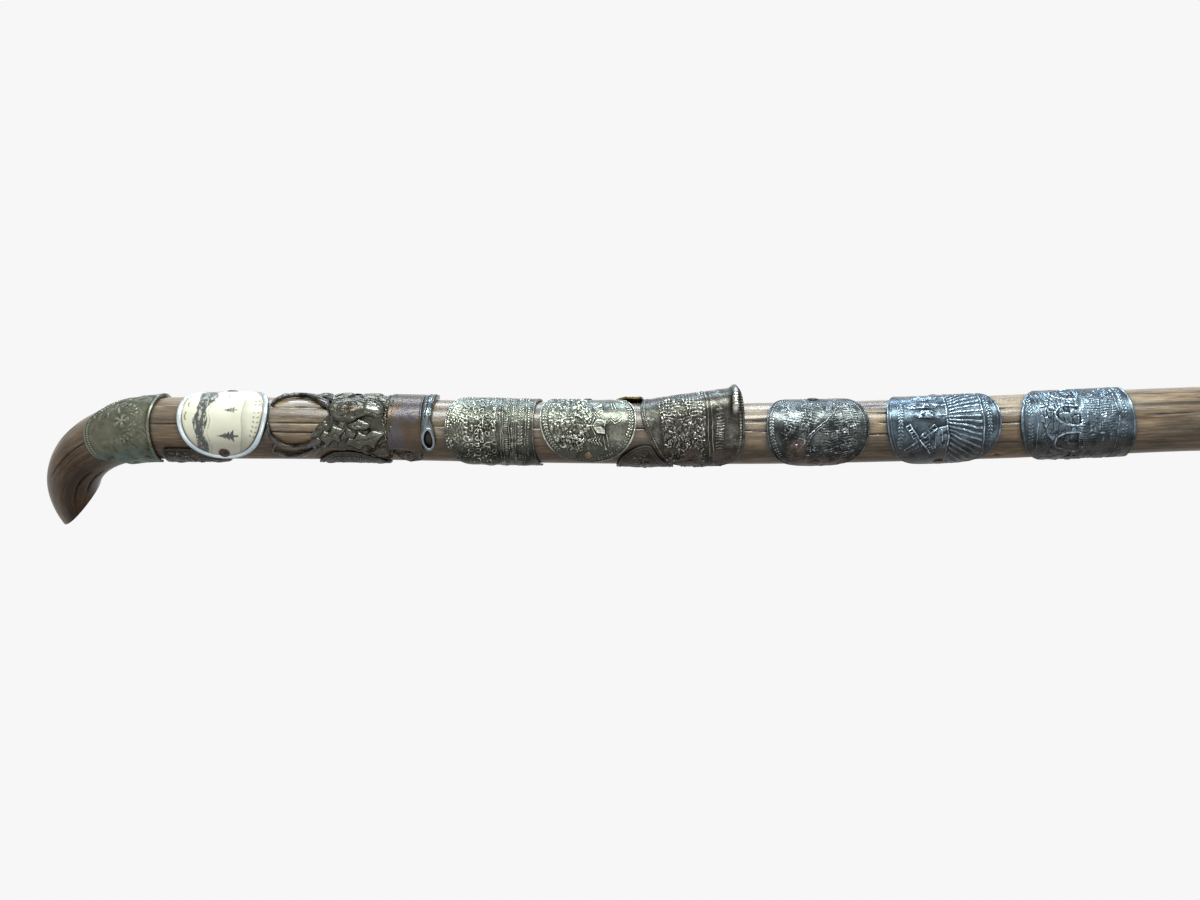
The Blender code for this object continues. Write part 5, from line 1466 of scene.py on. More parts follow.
def flare(along, around):
    """The sheet has sprung off the wood along its back edge, most of all at the far corner."""
    far = np.clip((along * MM - FLARED.middle) / FLARED.length + 0.5, 0.0, None)
    back = ease((around * MM - FLARED.turn * FLARED.radius + 0.02 * FLARED.wrap) / (0.30 * FLARED.wrap))
    return FLARE_RISE * far * back


def draw_flared(r):
    """Thick woodland behind fences, a double band and a row of narrow windows under a bare border."""
    r.blank(7.0, 0.34, 131, 0.10, 0.55, 0.14)
    r.edge_beads(1.05, 0.66, 0.28, 0.24, fall(r.along, 172, 4))
    r.edge_beads(1.3, 0.95, 0.40, 0.24, rise(r.along, 187.4, 1.0) * fall(r.around, 7.0, 2.0))
    woods = within(r.along, 165.4 - 0.10 * r.around, 180.2, 0.8, 0.5)
    low = fall(r.around, 5.0, 3.0)
    r.pebbles(1.05, 0.26, 135, woods * (0.35 + 0.65 * low))
    r.pebbles(0.60, 0.18, 137, woods)
    fence = woods * (1 - low) * r.patch(3.5, 145, 0.40, 0.12)
    r.height += 0.14 * fence * stripes(r.along / 0.95, 1.0)
    r.hatch(166.0, 180.0, 1.15, 0.14, 141, 1 - low)
    for number, around in enumerate((10.4, 6.4, 2.4, -1.6, -5.6, -9.4)):
        r.fir(169.6 + 1.6 * (number % 3), around, 4, 1.1, 0.45, 0.28)
    r.strokes(0.36, 0.18, 143, 150, (166.0, -12.0), (180.0, 17.0), 1.6, 0.2, 1.4)
    for line in (course((180.4, 19), (180.8, 8), (181.1, -2), (181.8, -14)),
                 course((181.7, 19), (182.1, 8), (182.4, -2), (183.2, -14))):
        r.ridge(line, 0.45, 0.22)
    r.height -= 0.06 * rise(r.along, 180.6, 0.3) * fall(r.along, 182.4, 0.3)
    r.hatch(183.4, 186.2, 0.95, 0.13, 147, fall(r.around, 9.0, 3.0))
    r.hatch(184.2, 185.6, 0.48, 0.10, 149)
    r.worn_twice(3.5, 0.45, 151)
    lip = rise(r.along, 188.2, 1.2) * rise(r.around, 5.0, 3.0)
    r.height += lip * (0.62 * np.sin(unit((r.along - 188.6) / 2.6) * math.pi) + 0.2)
    r.height += 0.09 * lip * stripes(r.around / 0.62, 1.0)
    # Tarnish in patches on the lower side, which also paints shade there.
    r.stain_and_painted_light = 0.9 * fall(r.around, -3.0, 4.0) * r.patch(4.0, 139, 0.35, 0.2) + 0.10


def draw_silver_oval(r):
    """A lake with boat sheds and reeds on one shore, a jetty between, and fine water lines beyond."""
    r.blank(6.0, 0.36, 141, 0.10, 0.5, 0.20)
    ring = fall(r.along, 209, 3)
    r.laurel(r.inside - 1.7, r.arc, 1.15, 1.40, 0.22, ring)
    r.edge_beads(1.4, 0.80, 0.30, 0.16, 1 - ring)
    inner = rise(r.inside, 2.6, 0.5)
    shore = 0.45 * (r.around - 2)
    near = within(r.along, 205, 216.0 + shore, 1.0, 0.5) * inner
    far = ease((r.along - 217.4 - shore) / 0.8) * inner
    drift = 1.2 * r.lumps(3.0, 153)
    r.height += 0.08 * near * stripes((r.around + 0.30 * (r.along - 206)) / 1.05 + drift)
    r.height += 0.09 * far * stripes(r.around / 0.85 + 0.22 * np.sin(1.5 * r.along + r.around) + 0.8 * drift)
    sheds = np.random.RandomState(155)
    for low, v in ((209.6, 9.4), (208.4, 6.4), (212.6, 7.2), (210.4, 3.2), (213.4, 1.8), (208.8, -0.4),
                   (212.0, -2.6), (214.0, -5.6), (209.4, -4.6), (221.6, 8.6), (224.6, 5.4), (220.8, 3.4),
                   (226.0, 0.4), (222.4, -1.4), (225.2, -5.0), (220.6, -6.2)):
        half, tall = sheds.uniform(0.7, 1.2), sheds.uniform(1.0, 2.2)
        walls = r.house(low, v, half, tall, 0.8 * half, sheds.uniform(0.10, 0.20))
        r.ridge(walls[2:], 0.34, 0.16)
        r.ridge([(low, v - half - 0.5), (low, v + half + 0.5)], 0.34, 0.18)
    r.pebbles(0.62, 0.16, 145, near * r.patch(3.0, 147, 0.42, 0.1))
    r.pebbles(0.62, 0.16, 149, far * r.patch(3.0, 151, 0.50, 0.1))
    for shift, width, height in ((0.0, 0.42, 0.28), (1.1, 0.30, 0.16)):
        jetty = [(along + shift, v) for along, v in ((209.5, -6.5), (213.5, -1.0), (218.4, 3.4), (224.0, 9.0))]
        r.ridge(jetty, width, height)
    r.strokes(0.34, 0.15, 157, 120, (205.0, -10.0), (229.0, 13.0), 1.8, 0.0, 0.7)
    r.worn_twice(3.5, 0.45, 159)
    # A painted highlight high up near the crook, a darker patch below it, a stain low down, and painted shade
    # below.
    bright, dull = r.away(208, 5.5, 4.0, 4.0), r.away(206.5, -1.5, 2.6, 3.0)
    r.rubbed_and_lit = 0.11 * ease(1.4 - bright) - 0.16 * ease(1.4 - dull)
    toned = r.away(209.6, -6.2, 3.4, 3.4)
    r.stain_and_painted_light = 0.95 * ease(1.5 - toned * 1.2) + 0.55 * fall(r.around, -8, 4) + 0.06


# One sail of the windmill, as lines of (along, across) from its hub: the arm, the frame and its rungs
SAIL = ([(0.0, 0.0), (6.2, 0.0)], [(1.6, 0.0), (1.6, 1.5), (6.2, 1.5), (6.2, 0.0)],
        *[[(out, 0.0), (out, 1.5)] for out in (2.7, 3.8, 4.9)])


def draw_tree_oval(r):
    """A windmill and poplars over furrowed fields, between two leafy columns."""
    r.blank(7.0, 0.36, 151, 0.07, 0.5, 0.20)
    r.edge_line(1.2, 0.26, 0.12)
    for along, low, high in ((243.2, -6.0, 12.0), (271.8, -5.8, 11.8)):
        gap, arc, side = r.measure([(along, high), (along, 3.0), (along, low)])
        r.laurel(gap * side, arc, 1.10, 1.5, 0.20)
    fields = within(r.along, 258.8, 269.6, 0.4, 0.4) * rise(r.inside, 2.0, 0.5)
    fan = np.arctan2(r.around - 4.0, r.along - 246.0) / 0.085
    r.height += fields * (0.34 * np.clip(1.2 * np.cos(2 * math.pi * fan), -0.6, 1.0) - 0.06)
    for along in (258.4, 269.9):
        r.band_line(along, 0.60, 0.30, 157)
    mill = [(258.2, -7.8), (258.2, 0.6), (250.0, -1.6), (248.4, -3.6), (250.0, -5.6)]
    r.shape(mill, 0.34, 0.9)
    r.ridge([*mill, mill[0]], 0.70, 0.22)
    for along in (252.2, 254.2, 256.2):
        r.ridge([(along, -6.6), (along, -0.6)], 0.34, 0.14)
    for turn in (0.6, 2.17, 3.74, 5.31):
        cos, sin = math.cos(turn), math.sin(turn)
        for number, line in enumerate(SAIL):
            turned = [(249.6 + along * cos - across * sin, -3.6 + along * sin + across * cos)
                      for along, across in line]
            r.ridge(turned, 0.40 if number else 0.75, 0.26 if number else 0.44)
    for low, around, reach in ((258.0, 4.8, 5.0), (258.0, 8.6, 6.2), (258.0, 12.6, 4.6)):
        r.dome(low - 1.0 - reach, around, 1.55, 0.50, reach / 1.55, 0.0)
        r.ridge([(low, around), (low - 2.4, around)], 0.8, 0.30)
        top, foot = (low - 0.4 - 1.9 * reach, around - 1.3), (low - 1.8, around + 1.3)
        r.strokes(0.36, 0.16, int(around * 10), 34, top, foot, 1.2, 0.0, 0.7)
    r.worn_twice(4.0, 0.55, 167)
    # Painted shade with tarnish over the lower half.
    r.stain_and_painted_light = 0.85 * fall(r.around, -1.5, 8.0) + 0.04


def draw_barrel(r):
    """An old stone bridge of three arches over a hatched river, between two leafy columns."""
    r.blank(8.0, 0.42, 161, 0.09, 0.9, 0.22)
    r.laurel(r.along - 285.1 - 0.0048 * (r.around - 3) ** 2, r.around + 40, 1.15, 1.5, 0.22)
    r.laurel(r.along - 315.6 + 0.0012 * r.around ** 2, r.around + 40, 1.15, 1.5, 0.24)
    edge = 300.6 + 1.6 * (r.waver(4.0, 171) - 0.5) + 0.03 * (r.around - 3) ** 2
    river = within(r.along, edge, 313.0, 0.6, 1.0)
    bridge = within(r.along, 288.4, edge, 0.4, 0.5)
    woods = river * r.patch(5.0, 165, 0.52, 0.10)
    r.pebbles(0.66, 0.22, 167, woods)
    r.hatch(300.0, 313.0, 0.85, 0.11, 169, 1 - 0.6 * woods)
    for size_a, size_v, height, seed in ((2.0, 3.2, 0.32, 173), (0.9, 1.5, 0.10, 175)):
        joint, level = block_field(r.along, r.around, size_a, size_v, seed)
        r.height += bridge * (height * (level - 0.4) - 0.7 * height * unit(1 - joint / 0.20))
    for middle in (-6.4, 3.0, 12.4):
        arch = course((301.2, middle + 3.3), (296.0, middle + 2.9), (293.2, middle), (296.0, middle - 2.9),
                      (301.2, middle - 3.3))
        r.shape(arch, -0.40, 0.5)
        r.ridge(arch, 0.9, 0.36)
    r.strokes(0.34, 0.14, 177, 90, (301.0, -14.0), (312.6, 17.0), 2.2, 0.0, 0.35)
    r.strokes(0.36, 0.18, 179, 20, (302.0, -14.0), (312.0, 17.0), 2.6, 1.5, 0.2)
    r.band_line(287.4, 0.36, 0.22, 181)
    r.band_line(313.6, 0.36, 0.24, 183)
    r.worn_twice(4.0, 0.50, 185)
    # Painted light: the upper side is drawn lighter and the lower side darker, with painted shade as tarnish below.
    r.rubbed_and_lit = 0.04 * rise(r.around, -4, 6) - 0.10 * fall(r.around, -2, 6)
    r.stain_and_painted_light = 0.85 * fall(r.around, -1.5, 8.0) + 0.05


def draw_mottled(r):
    """Worn pressed sheet, all lumps and pits, with a low edge."""
    r.blank(4.0, 0.20, 191, 0.16, 0.6, 0.12)
    inner = rise(r.inside, 1.0, 0.5)
    r.pebbles(1.5, 0.24, 195, inner)
    r.pebbles(0.7, 0.18, 197, inner)
    r.strokes(0.40, 0.20, 199, 90, (2.0, -33.0), (22.0, -8.0), 1.8, 0.0, 1.5)
    r.worn(3.0, 0.4, 189)
    r.stain_and_painted_light += 0.3


def draw_under(r):
    """Plain pressed sheet with a beaded edge and fine bowed lines."""
    r.blank(4.0, 0.20, 171, 0.10, 0.6, 0.16)
    r.edge_beads(1.2, 0.8, 0.32, 0.20)
    inner = rise(r.inside, 1.9, 0.5)
    bow = np.hypot(r.along - r.along.mean(), 0.7 * (r.around - r.around.mean() - 9.0))
    r.height += 0.20 * inner * stripes(bow / 0.9, 1.2)
    r.pebbles(0.8, 0.12, 175, inner)
    r.worn(3.0, 0.4, 177)
    r.stain_and_painted_light += 0.25


def draw_leafy(r):
    """A rosette of leaves in a beaded edge."""
    r.blank(4.0, 0.20, 181, 0.10, 0.6, 0.16)
    r.edge_beads(1.2, 0.8, 0.32, 0.20)
    middle_a, middle_v = r.along.mean(), r.around.mean()
    spoke = np.arctan2(r.around - middle_v, r.along - middle_a)
    reach = r.away(middle_a, middle_v)
    petal = unit(1 - (reach / 5.0) ** 4) * unit(np.cos(6 * spoke) + 0.35)
    r.raise_to(0.30 * petal * (0.7 + 0.3 * np.cos(24 * spoke)))
    r.dome(middle_a, middle_v, 0.9, 0.4)
    r.pebbles(0.75, 0.20, 185, rise(reach, 5.2, 0.5) * rise(r.inside, 1.9, 0.5))
    r.worn(3.0, 0.5, 187)
    r.stain_and_painted_light += 0.30


STAG_REACH = smooth_outline(
    [(37.6, -2.0), (40.0, -11.0), (46.0, -12.8), (56.0, -9.0), (66.0, -8.4), (72.0, -11.0), (77.0, -12.2),
     (83.0, -14.0), (88.5, -13.0), (93.0, -6.0), (93.0, 20.0), (60.0, 23.0), (40.0, 19.0)], steps=3)


def seen_from(badge, other):
    """The other badge's outline and scale as the drawing of this badge has them."""
    outline = other.drawn()[::3]
    if other is STAG:
        shift = STAG.turn * STAG.radius / MM - STAG.about[1]
        outline = [(a - 0.2, v + shift) for a, v in STAG_REACH]
    return outline, other.radius / badge.radius


CUT_MARGIN = 0.55


def cut_back(badge, larger):
    """The badge's outline, cut back where larger badges lie over its place."""
    outline = np.array(badge.drawn())
    middle = outline.mean(0)
    angles = np.linspace(0, 2 * math.pi, 241)[:-1]
    shares = np.linspace(0.02, 1.0, 160)
    reach = reach_at(outline - middle, angles)
    along = middle[0] + np.outer(reach * np.cos(angles), shares)
    around = middle[1] + np.outer(reach * np.sin(angles), shares)
    free = np.ones(along.shape, bool)
    for other in larger:
        points, scale = seen_from(badge, other)
        free &= Relief(along, around * scale).inside_of(points) < -CUT_MARGIN
    stop = np.where(free.all(axis=1), len(shares), np.argmin(free, axis=1))
    kept = reach * shares[np.clip(stop - 1, 0, len(shares) - 1)]
    return [(middle[0] + k * math.cos(t), middle[1] + k * math.sin(t)) for k, t in zip(kept, angles)]


class STICK_OT_sheet_badges(bpy.types.Operator):
    """Builds the six pressed badges that are nailed along the shaft"""

    bl_idname = "stick.sheet_badges"
    bl_label = "Badges on the shaft"

    def execute(self, context):
        add_badges((
            ("town", TOWN, draw_town, 208, 336, "tarnished silver", "silver", {"deeper": 1.2}),
            ("round", ROUND, draw_round, 256, 264, "tarnished silver", "silver", {"deeper": 1.1}),
            ("flared", FLARED, draw_flared, 256, 272, "dark bronze", "dark_bronze", {"lift_more": flare}),
            ("silver_oval", SILVER_OVAL, draw_silver_oval, 256, 280, "grey silver", "silver", {"deeper": 0.95}),
            ("tree_oval", TREE_OVAL, draw_tree_oval, 264, 296, "blue-grey pewter", "pewter", {"deeper": 0.95}),
            ("barrel", BARREL, draw_barrel, 256, 312, "blue-grey pewter", "pewter", {"deeper": 0.95}),
        ))
        return {"FINISHED"}


BACK_BRASS_RISE = 0.0013


def back_brass_lift(along, around):
    """The edge that faces the front has come off the wood a little."""
    off = around * MM - BACK_BRASS.turn * BACK_BRASS.radius
    return BACK_BRASS_RISE * ease((-0.22 * BACK_BRASS.wrap - off) / (0.28 * BACK_BRASS.wrap))


class STICK_OT_hidden_badges(bpy.types.Operator):
    """Builds the smaller badges on the far sides, tucked in beside the large ones"""

    bl_idname = "stick.hidden_badges"
    bl_label = "Badges on the far sides"

    def execute(self, context):
        rows = (
            ("under_upper", UNDER_UPPER, (DISC,), draw_mottled, "dark worn bronze", "dark_bronze", None),
            ("under_round", UNDER_ROUND, (STAG,), draw_under, "dull pewter", "pewter", None),
            ("under_arch", UNDER_ARCH, (ROUND, FLARED), draw_leafy, "dark worn bronze", "dark_bronze", None),
            ("back_brass", BACK_BRASS, (ROUND, FLARED), draw_leafy, "dull brass", "brass", back_brass_lift),
        )
        add_badges([(name, badge, draw, 144, 168, metal, slot,
                     {"outline": cut_back(badge, larger), "lift_more": more})
                    for name, badge, larger, draw, metal, slot, more in rows])
        return {"FINISHED"}


# Nails and the foot


SEAT = CLEARANCE + SHEET + CLEARANCE
NAIL_EDGE = 0.0037
NAIL_HEAD_DIAMETER = 0.0036
NAIL_HEAD_HEIGHT = 0.0009
NAIL_SHANK_DIAMETER = 0.0014
NAIL_IN_WOOD = 0.0055
NAIL_SIDES = 28
BRASS_NAIL_SHARE = 0.72
BRASS_NAIL_COLOUR = (0.130, 0.102, 0.060)


def nail_frame(down, turn, lift):
    """Local Z points away from the stick, with the origin at that lift above the wood."""
    base = Vector(on_stick(down, turn, lift))
    away = (Vector(on_stick(down, turn, lift + 0.001)) - base).normalized()
    placed = away.to_track_quat("Z", "Y").to_matrix().to_4x4()
    placed.translation = base
    return placed


def spun(bm, profile, sides, at=None):
    """Adds a solid of revolution about local Z, from a profile of (radius, height)."""
    verts = [bm.verts.new((radius, 0, height)) for radius, height in profile]
    edges = [bm.edges.new(pair) for pair in zip(verts, verts[1:])]
    if profile[0][0] > 0:
        edges.append(bm.edges.new((verts[-1], verts[0])))
    before = set(bm.verts) - set(verts)
    bmesh.ops.spin(bm, geom=[*verts, *edges], angle=2 * math.pi, steps=sides, axis=(0, 0, 1), cent=(0, 0, 0),
                   use_merge=True, use_duplicate=False)
    made = [vert for vert in bm.verts if vert not in before]
    bmesh.ops.remove_doubles(bm, verts=made, dist=0.000001)
    made = [vert for vert in bm.verts if vert not in before]
    faces = each_once(face for vert in made for face in vert.link_faces)
    bmesh.ops.recalc_face_normals(bm, faces=faces)
    if at is not None:
        bmesh.ops.transform(bm, matrix=at, verts=made)
    return made


def nail_profile(seat, share=1.0):
    """A domed head of that share of its full size, and a shank that reaches down into the wood."""
    head, shank = share * NAIL_HEAD_DIAMETER / 2, NAIL_SHANK_DIAMETER / 2
    reach = -(seat + NAIL_IN_WOOD)
    dome = [(head * math.sin(t) ** 0.8, 0.50 * NAIL_HEAD_HEIGHT * (0.22 + 0.78 * math.cos(t)))
            for t in np.linspace(0.30, math.pi / 2, 8)]
    return [(0, dome[0][1]), *dome, (head * 0.97, 0), (shank, 0), (shank, reach + 2 * shank), (0, reach)]


def end_nails(badge):
    """Flat offsets of two nails from the badge's middle, one near each end of its wrap."""
    return [(0.0, side * (badge.wrap / 2 - NAIL_EDGE)) for side in (-1, 1)]


def side_nails(badge):
    """Flat offsets of two nails from the badge's middle, one near its upper and one near its lower edge."""
    return [(side * (badge.length / 2 - NAIL_EDGE), 0.0) for side in (-1, 1)]


# The disc's top and its nails, as the solids have them: a cup floor of 0.5 mm and a print of 0.7 mm, each clear of
# what lies below it
DISC_TOP = CLEARANCE + 0.0005 + CLEARANCE + 0.0007
DISC_NAIL = DISC.wrap / 2 - CUP_RIM - NAIL_HEAD_DIAMETER / 2
# Each row: the nails' name, their badge, their flat offsets from its middle, and how high their heads are seated
NAILS = (
    ("nail_crook_shield", CROOK_SHIELD, [(0.0005, NAIL_EDGE - CROOK_SHIELD.wrap / 2),
                                         (0.00378, CROOK_SHIELD.wrap / 2 - NAIL_EDGE)], SEAT),
    ("nail_disc", DISC, [(0.0, -DISC_NAIL), (0.0, DISC_NAIL)], DISC_TOP + CLEARANCE),
    ("nail_stag", STAG, [(0.0181, -0.0140), (-0.0001, 0.0154)], SEAT + 0.0003),
    ("nail_town", TOWN, end_nails(TOWN), SEAT),
    ("nail_round", ROUND, end_nails(ROUND), SEAT),
    ("nail_flared", FLARED, [(-0.02 * FLARED.length, NAIL_EDGE - FLARED.wrap / 2), (0, 0)], SEAT),
    ("nail_silver_oval", SILVER_OVAL, end_nails(SILVER_OVAL), SEAT),
    ("nail_tree_oval", TREE_OVAL, end_nails(TREE_OVAL), SEAT),
    ("nail_barrel", BARREL, end_nails(BARREL), SEAT),
    ("nail_under_upper", UNDER_UPPER, side_nails(UNDER_UPPER), SEAT),
    ("nail_under_round", UNDER_ROUND, side_nails(UNDER_ROUND), SEAT),
    ("nail_under_arch", UNDER_ARCH, [(0.0, NAIL_EDGE - UNDER_ARCH.wrap / 2), (0.0, 0.004)], SEAT),
    ("nail_back_brass", BACK_BRASS, [(0.0, -0.12 * BACK_BRASS.wrap),
                                     (0.0, BACK_BRASS.wrap / 2 - NAIL_EDGE)], SEAT),
)
# These have fallen out, and their holes are empty
MISSING_NAILS = ("nail_crook_shield_1", "nail_flared_2")


class STICK_OT_nails(bpy.types.Operator):
    """Builds the small domed nails that hold the badges"""

    bl_idname = "stick.nails"
    bl_label = "Nails"

    def execute(self, context):
        groups = {"copper": (bmesh.new(), [], context.scene.stick_badges.copper),
                  "brass": (bmesh.new(), [], BRASS_NAIL_COLOUR)}
        for name, badge, offsets, seat in NAILS:
            slot, share = ("brass", BRASS_NAIL_SHARE) if badge is ROUND else ("copper", 1.0)
            bm, nodes, _ = groups[slot]
            for number, (along, around) in enumerate(offsets, 1):
                nail = f"{name}_{number}"
                if nail not in MISSING_NAILS:
                    turn = badge.turn + around / badge.radius
                    at = nail_frame(badge.middle + along, turn, seat - CLEARANCE)
                    spun(bm, nail_profile(seat, share), NAIL_SIDES, at)
                    nodes.append(nail)
        for slot, (bm, nodes, colour) in groups.items():
            look = nail_look(slot + " nails", tuple(colour))
            add_piece("nails_" + slot, as_mesh(bm, "nails"), look, slot, nodes, 40)
        return {"FINISHED"}


def nail_look(name, colour):
    """Dull nail heads, blotched and darker in places."""
    look, tree, shader = new_look(name)
    place = object_place(tree)
    blotch = noise(place, 900.0, 4.0, 0.65)
    bright = [min(1.0, 1.7 * c) for c in colour]
    dim = [0.28 * c for c in colour]
    feed(shader, {
        "Base Color": ramp(blotch, ((0.32, dim), (0.52, colour), (0.72, bright))),
        "Roughness": span(blotch, 0.3, 0.7, 0.55, 0.30),
        "Metallic": 0.9,
        "Normal": bumped(blotch, 0.00008, 0.7),
    })
    return look


PIN_BELOW_MOUTH = 0.010
GROOVE_BELOW_MOUTH = 0.0085


class STICK_OT_foot(bpy.types.Operator):
    """Builds the steel ferrule with its pin, and the blunt point"""

    bl_idname = "stick.foot"
    bl_label = "Foot"

    def execute(self, context):
        steel = steel_look()
        hole = SPIKE_SHANK_DIAMETER / 2 + CLEARANCE
        mouth = FOOT_DIAMETER / 2 + CLEARANCE
        end = FERRULE_END_DIAMETER / 2
        floor = FERRULE_FOOT + FERRULE_FLOOR
        lip = mouth + FERRULE_WALL
        bead_middle, groove_middle = FERRULE_MOUTH - 2 * FERRULE_BEAD, FERRULE_MOUTH - GROOVE_BELOW_MOUTH
        corner = [(end - FERRULE_WALL * (1 - math.sin(t)), FERRULE_FOOT + FERRULE_WALL * (1 - math.cos(t)))
                  for t in np.linspace(0.2, math.pi / 2, 6)]
        groove = [(lip - 0.4 * FERRULE_WALL * math.sin(t) - 0.00008, groove_middle - 0.0009 * math.cos(t))
                  for t in np.linspace(0, math.pi, 7)]
        bead = [(lip + FERRULE_BEAD * math.sin(t), bead_middle - 1.6 * FERRULE_BEAD * math.cos(t))
                for t in np.linspace(0, math.pi, 9)]
        profile = [(hole, FERRULE_FOOT), (end - FERRULE_WALL, FERRULE_FOOT), *corner, *groove, *bead,
                   (lip, FERRULE_MOUTH - 0.0001), (lip - 0.0001, FERRULE_MOUTH), (mouth, FERRULE_MOUTH),
                   (end - FERRULE_WALL, floor), (hole, floor)]
        self.add_turned("ferrule", profile, 96, steel, "tip_ferrule")
        shank, tip = SPIKE_SHANK_DIAMETER / 2, SPIKE_TIP_DIAMETER / 2
        neck, collar = SPIKE_NECK_DIAMETER / 2, SPIKE_COLLAR_DIAMETER / 2
        top = FERRULE_FOOT + FERRULE_FLOOR + CLEARANCE + SPIKE_IN_WOOD
        profile = [(0, 0), (tip - 0.0004, 0), (tip - 0.0001, 0.0001), (tip, 0.0004), (neck, SPIKE_REACH - 0.0040),
                   (neck + 0.0002, SPIKE_REACH - 0.0036), (collar - 0.0005, SPIKE_REACH - 0.0020),
                   (collar - 0.0001, SPIKE_REACH - 0.0017), (collar, SPIKE_REACH - 0.0013),
                   (collar, SPIKE_REACH - 0.0004), (collar - 0.0003, SPIKE_REACH), (shank, SPIKE_REACH),
                   (shank, top - 2 * shank), (shank / 3, top), (0, top)]
        self.add_turned("spike", profile, 64, steel, "tip_spike")
        bm = bmesh.new()
        taper = (FOOT_DIAMETER / 2 - TENON_END_RADIUS) / (STRAIGHT_LENGTH - MOUTH_DOWN)
        seat = 2 * CLEARANCE + FERRULE_WALL + taper * NAIL_HEAD_DIAMETER / 2
        spun(bm, nail_profile(seat), NAIL_SIDES, nail_frame(MOUTH_DOWN + PIN_BELOW_MOUTH, 0.0, seat))
        add_piece("ferrule_pin", as_mesh(bm, "pin"), steel, "steel", ["ferrule_pin_1"], 40)
        return {"FINISHED"}

    def add_turned(self, name, profile, sides, look, standing_for):
        bm = bmesh.new()
        spun(bm, profile, sides)
        add_piece(name, as_mesh(bm, name), look, "steel", [standing_for], 35)


def steel_look():
    """Worn bare steel, scratched along and dark in blotches."""
    look, tree, shader = new_look("worn steel")
    place = object_place(tree)
    blotch = noise(place, 240.0, 5.0, 0.6)
    lines = noise(mapped(place, (1.0, 1.0, 0.06)), 1800.0, 3.0, 0.6)
    tone = mixture((blotch, 0.7), (lines, 0.3))
    stops = ((0.36, (0.10, 0.085, 0.07)), (0.52, (0.33, 0.32, 0.30)), (0.68, (0.58, 0.57, 0.54)))
    feed(shader, {
        "Base Color": ramp(tone, stops),
        "Roughness": span(tone, 0.35, 0.65, 0.55, 0.30),
        "Metallic": 1.0,
        "Normal": bumped(tone, 0.00006, 0.6),
    })
    return look


# The view: how far the camera is turned round the stick, its lens, the photograph's scale, the pixels of its middle
# and of the start of the bend, how much the stick leans in it, and how far off the camera stands
CAMERA_TURN = math.radians(50)
CAMERA_LENS = 34.5
METRES_PER_PIXEL = 1 / 3000
MIDDLE_PIXEL = (600, 450)
BEND_PIXEL = (163.0, 428.2)
LINE_SLOPE = 0.011
CAMERA_DISTANCE = 1150 * METRES_PER_PIXEL


def floor_look(settings):
    """A pale floor that keeps the shadow near the stick and passes into the backdrop further out."""
    look, tree, shader = new_look("pale floor")
    place = object_place(tree)
    floor = tuple(settings.floor)
    speckle = noise(place, 60.0, 4.0, 0.55)
    feed(shader, {
        "Base Color": ramp(speckle, ((0.3, [0.97 * c for c in floor]), (0.7, floor))),
        "Roughness": 0.8,
        "Specular IOR Level": 0.1,
    })
    backdrop = fed(tree, "Emission", 0, {"Color": (*settings.backdrop, 1.0)})
    reach = fed(tree, "VectorMath", "Value", {0: place}, operation="LENGTH")
    share = maths("MULTIPLY", seen_directly(tree), span(reach, 0.18, 0.58, 0.35, 1.0))
    feed(tree.nodes["Material Output"], {"Surface": mix_shaders(share, shader.outputs[0], backdrop)})
    return look


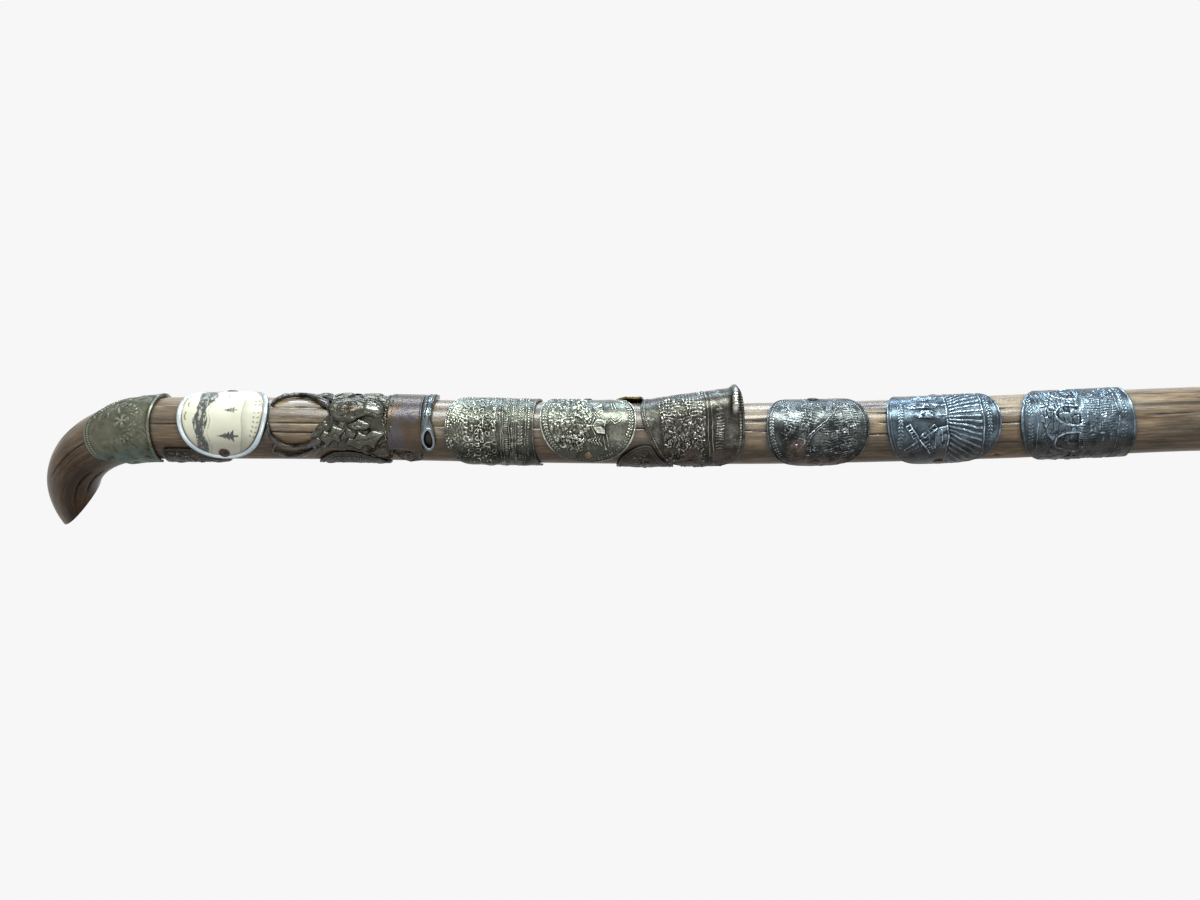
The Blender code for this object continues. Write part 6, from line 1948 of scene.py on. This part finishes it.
class STICK_OT_stage(bpy.types.Operator):
    """Builds the floor, the surrounding light, the lamps and the camera"""

    bl_idname = "stick.stage"
    bl_label = "Stage"

    def execute(self, context):
        scene = context.scene
        settings = scene.stick_stage
        bm = bmesh.new()
        bmesh.ops.create_circle(bm, cap_ends=True, segments=96, radius=3.0)
        mesh = as_mesh(bm, "floor")
        mesh.materials.append(floor_look(settings))
        floor_piece = bpy.data.objects.new("floor", mesh)
        scene.collection.objects.link(floor_piece)
        self.add_world(scene, settings)
        toward = Vector((math.sin(CAMERA_TURN), -math.cos(CAMERA_TURN), 0))
        side = Vector((math.cos(CAMERA_TURN), math.sin(CAMERA_TURN), 0))
        down = Vector((0, 0, -1))
        middle = Vector((0, 0, BEND_HEIGHT - 0.15))
        key, fill = settings.key_power, settings.fill_power
        lamps = (
            ("key", 0.95 * side + 0.55 * toward + 0.10 * down, (0.26, 0.9), key, (0.90, 0.96, 0.94)),
            ("top", 1.05 * side - 0.40 * toward, (0.20, 0.9), 0.62 * key, (0.64, 0.82, 1.0)),
            ("fill", 1.3 * toward - 0.25 * side, (0.9, 0.9), fill, (1.0, 0.97, 0.92)),
            ("back", -1.2 * toward + 0.2 * side, (0.9, 1.0), fill, (1.0, 1.0, 1.0)),
            ("low", -1.3 * side + 0.4 * toward, (0.8, 1.0), 0.2 * fill, (1.0, 0.98, 0.95)),
        )
        for name, place, size, power, colour in lamps:
            self.add_lamp(name, middle + place, middle, size, power, colour)
        self.add_camera(scene, side, down)
        scene.view_settings.view_transform = "Standard"
        return {"FINISHED"}

    def add_world(self, scene, settings):
        """Even light from all sides, with the pale backdrop for what the camera and the gloss see."""
        world = bpy.data.worlds.new("surroundings")
        world.use_nodes = True
        scene.world = world
        tree = world.node_tree
        tree.nodes.clear()
        backdrop = fed(tree, "Background", 0, {"Color": (*settings.backdrop, 1.0)})
        even = fed(tree, "Background", 0, {"Color": (0.95, 0.97, 1.0, 1.0), "Strength": settings.surround})
        feed(node(tree, "OutputWorld"), {"Surface": mix_shaders(seen_directly(tree), even, backdrop)})

    def add_lamp(self, name, place, target, size, power, colour):
        data = bpy.data.lights.new(name, "AREA")
        data.shape = "RECTANGLE"
        data.size, data.size_y = size
        data.energy = power
        data.color = colour
        lamp = bpy.data.objects.new(name, data)
        facing = (place - target).to_track_quat("Z", "Y").to_matrix().to_4x4()
        lamp.matrix_world = Matrix.Translation(place) @ facing
        bpy.context.scene.collection.objects.link(lamp)

    def add_camera(self, scene, side, down):
        """The photograph's view: the stick lies across it, with the crook at the left."""
        right = (down - LINE_SLOPE * side).normalized()
        up = (side + LINE_SLOPE * down).normalized()
        back = right.cross(up)
        place = (Vector((0, 0, BEND_HEIGHT)) - (BEND_PIXEL[0] - MIDDLE_PIXEL[0]) * METRES_PER_PIXEL * right
                 - (MIDDLE_PIXEL[1] - BEND_PIXEL[1]) * METRES_PER_PIXEL * up + CAMERA_DISTANCE * back)
        data = bpy.data.cameras.new("view")
        data.lens = CAMERA_LENS
        data.sensor_width = 36.0
        data.clip_start = 0.01
        camera = bpy.data.objects.new("view", data)
        turned = Matrix((right, up, back)).transposed().to_4x4()
        camera.matrix_world = Matrix.Translation(place) @ turned
        scene.collection.objects.link(camera)
        scene.camera = camera


class STICK_PT_panel(bpy.types.Panel):
    """Lists the pieces of the walking stick"""

    bl_idname = "STICK_PT_panel"
    bl_label = "Walking Stick"
    bl_space_type = "VIEW_3D"
    bl_region_type = "UI"
    bl_category = "Walking Stick"

    def draw(self, context):
        for operator in OPERATORS:
            self.layout.operator(operator.bl_idname)
        for group in SETTINGS:
            settings = getattr(context.scene, group)
            for key in settings.__annotations__:
                self.layout.prop(settings, key)


SETTINGS = {"stick_wood": StickWoodSettings, "stick_badges": StickBadgeSettings, "stick_stage": StickStageSettings}
OPERATORS = (STICK_OT_wood, STICK_OT_crook_shield, STICK_OT_disc, STICK_OT_stag, STICK_OT_sheet_badges,
             STICK_OT_hidden_badges, STICK_OT_nails, STICK_OT_foot, STICK_OT_stage)


def register():
    for made in (*SETTINGS.values(), *OPERATORS, STICK_PT_panel):
        bpy.utils.register_class(made)
    for name, settings in SETTINGS.items():
        setattr(bpy.types.Scene, name, PointerProperty(type=settings))


def unregister():
    for name in SETTINGS:
        delattr(bpy.types.Scene, name)
    for made in (STICK_PT_panel, *reversed(OPERATORS), *reversed(SETTINGS.values())):
        bpy.utils.unregister_class(made)


def main():
    register()
    for operator in OPERATORS:
        group, name = operator.bl_idname.split(".")
        getattr(getattr(bpy.ops, group), name)()


if __name__ == "__main__":
    main()
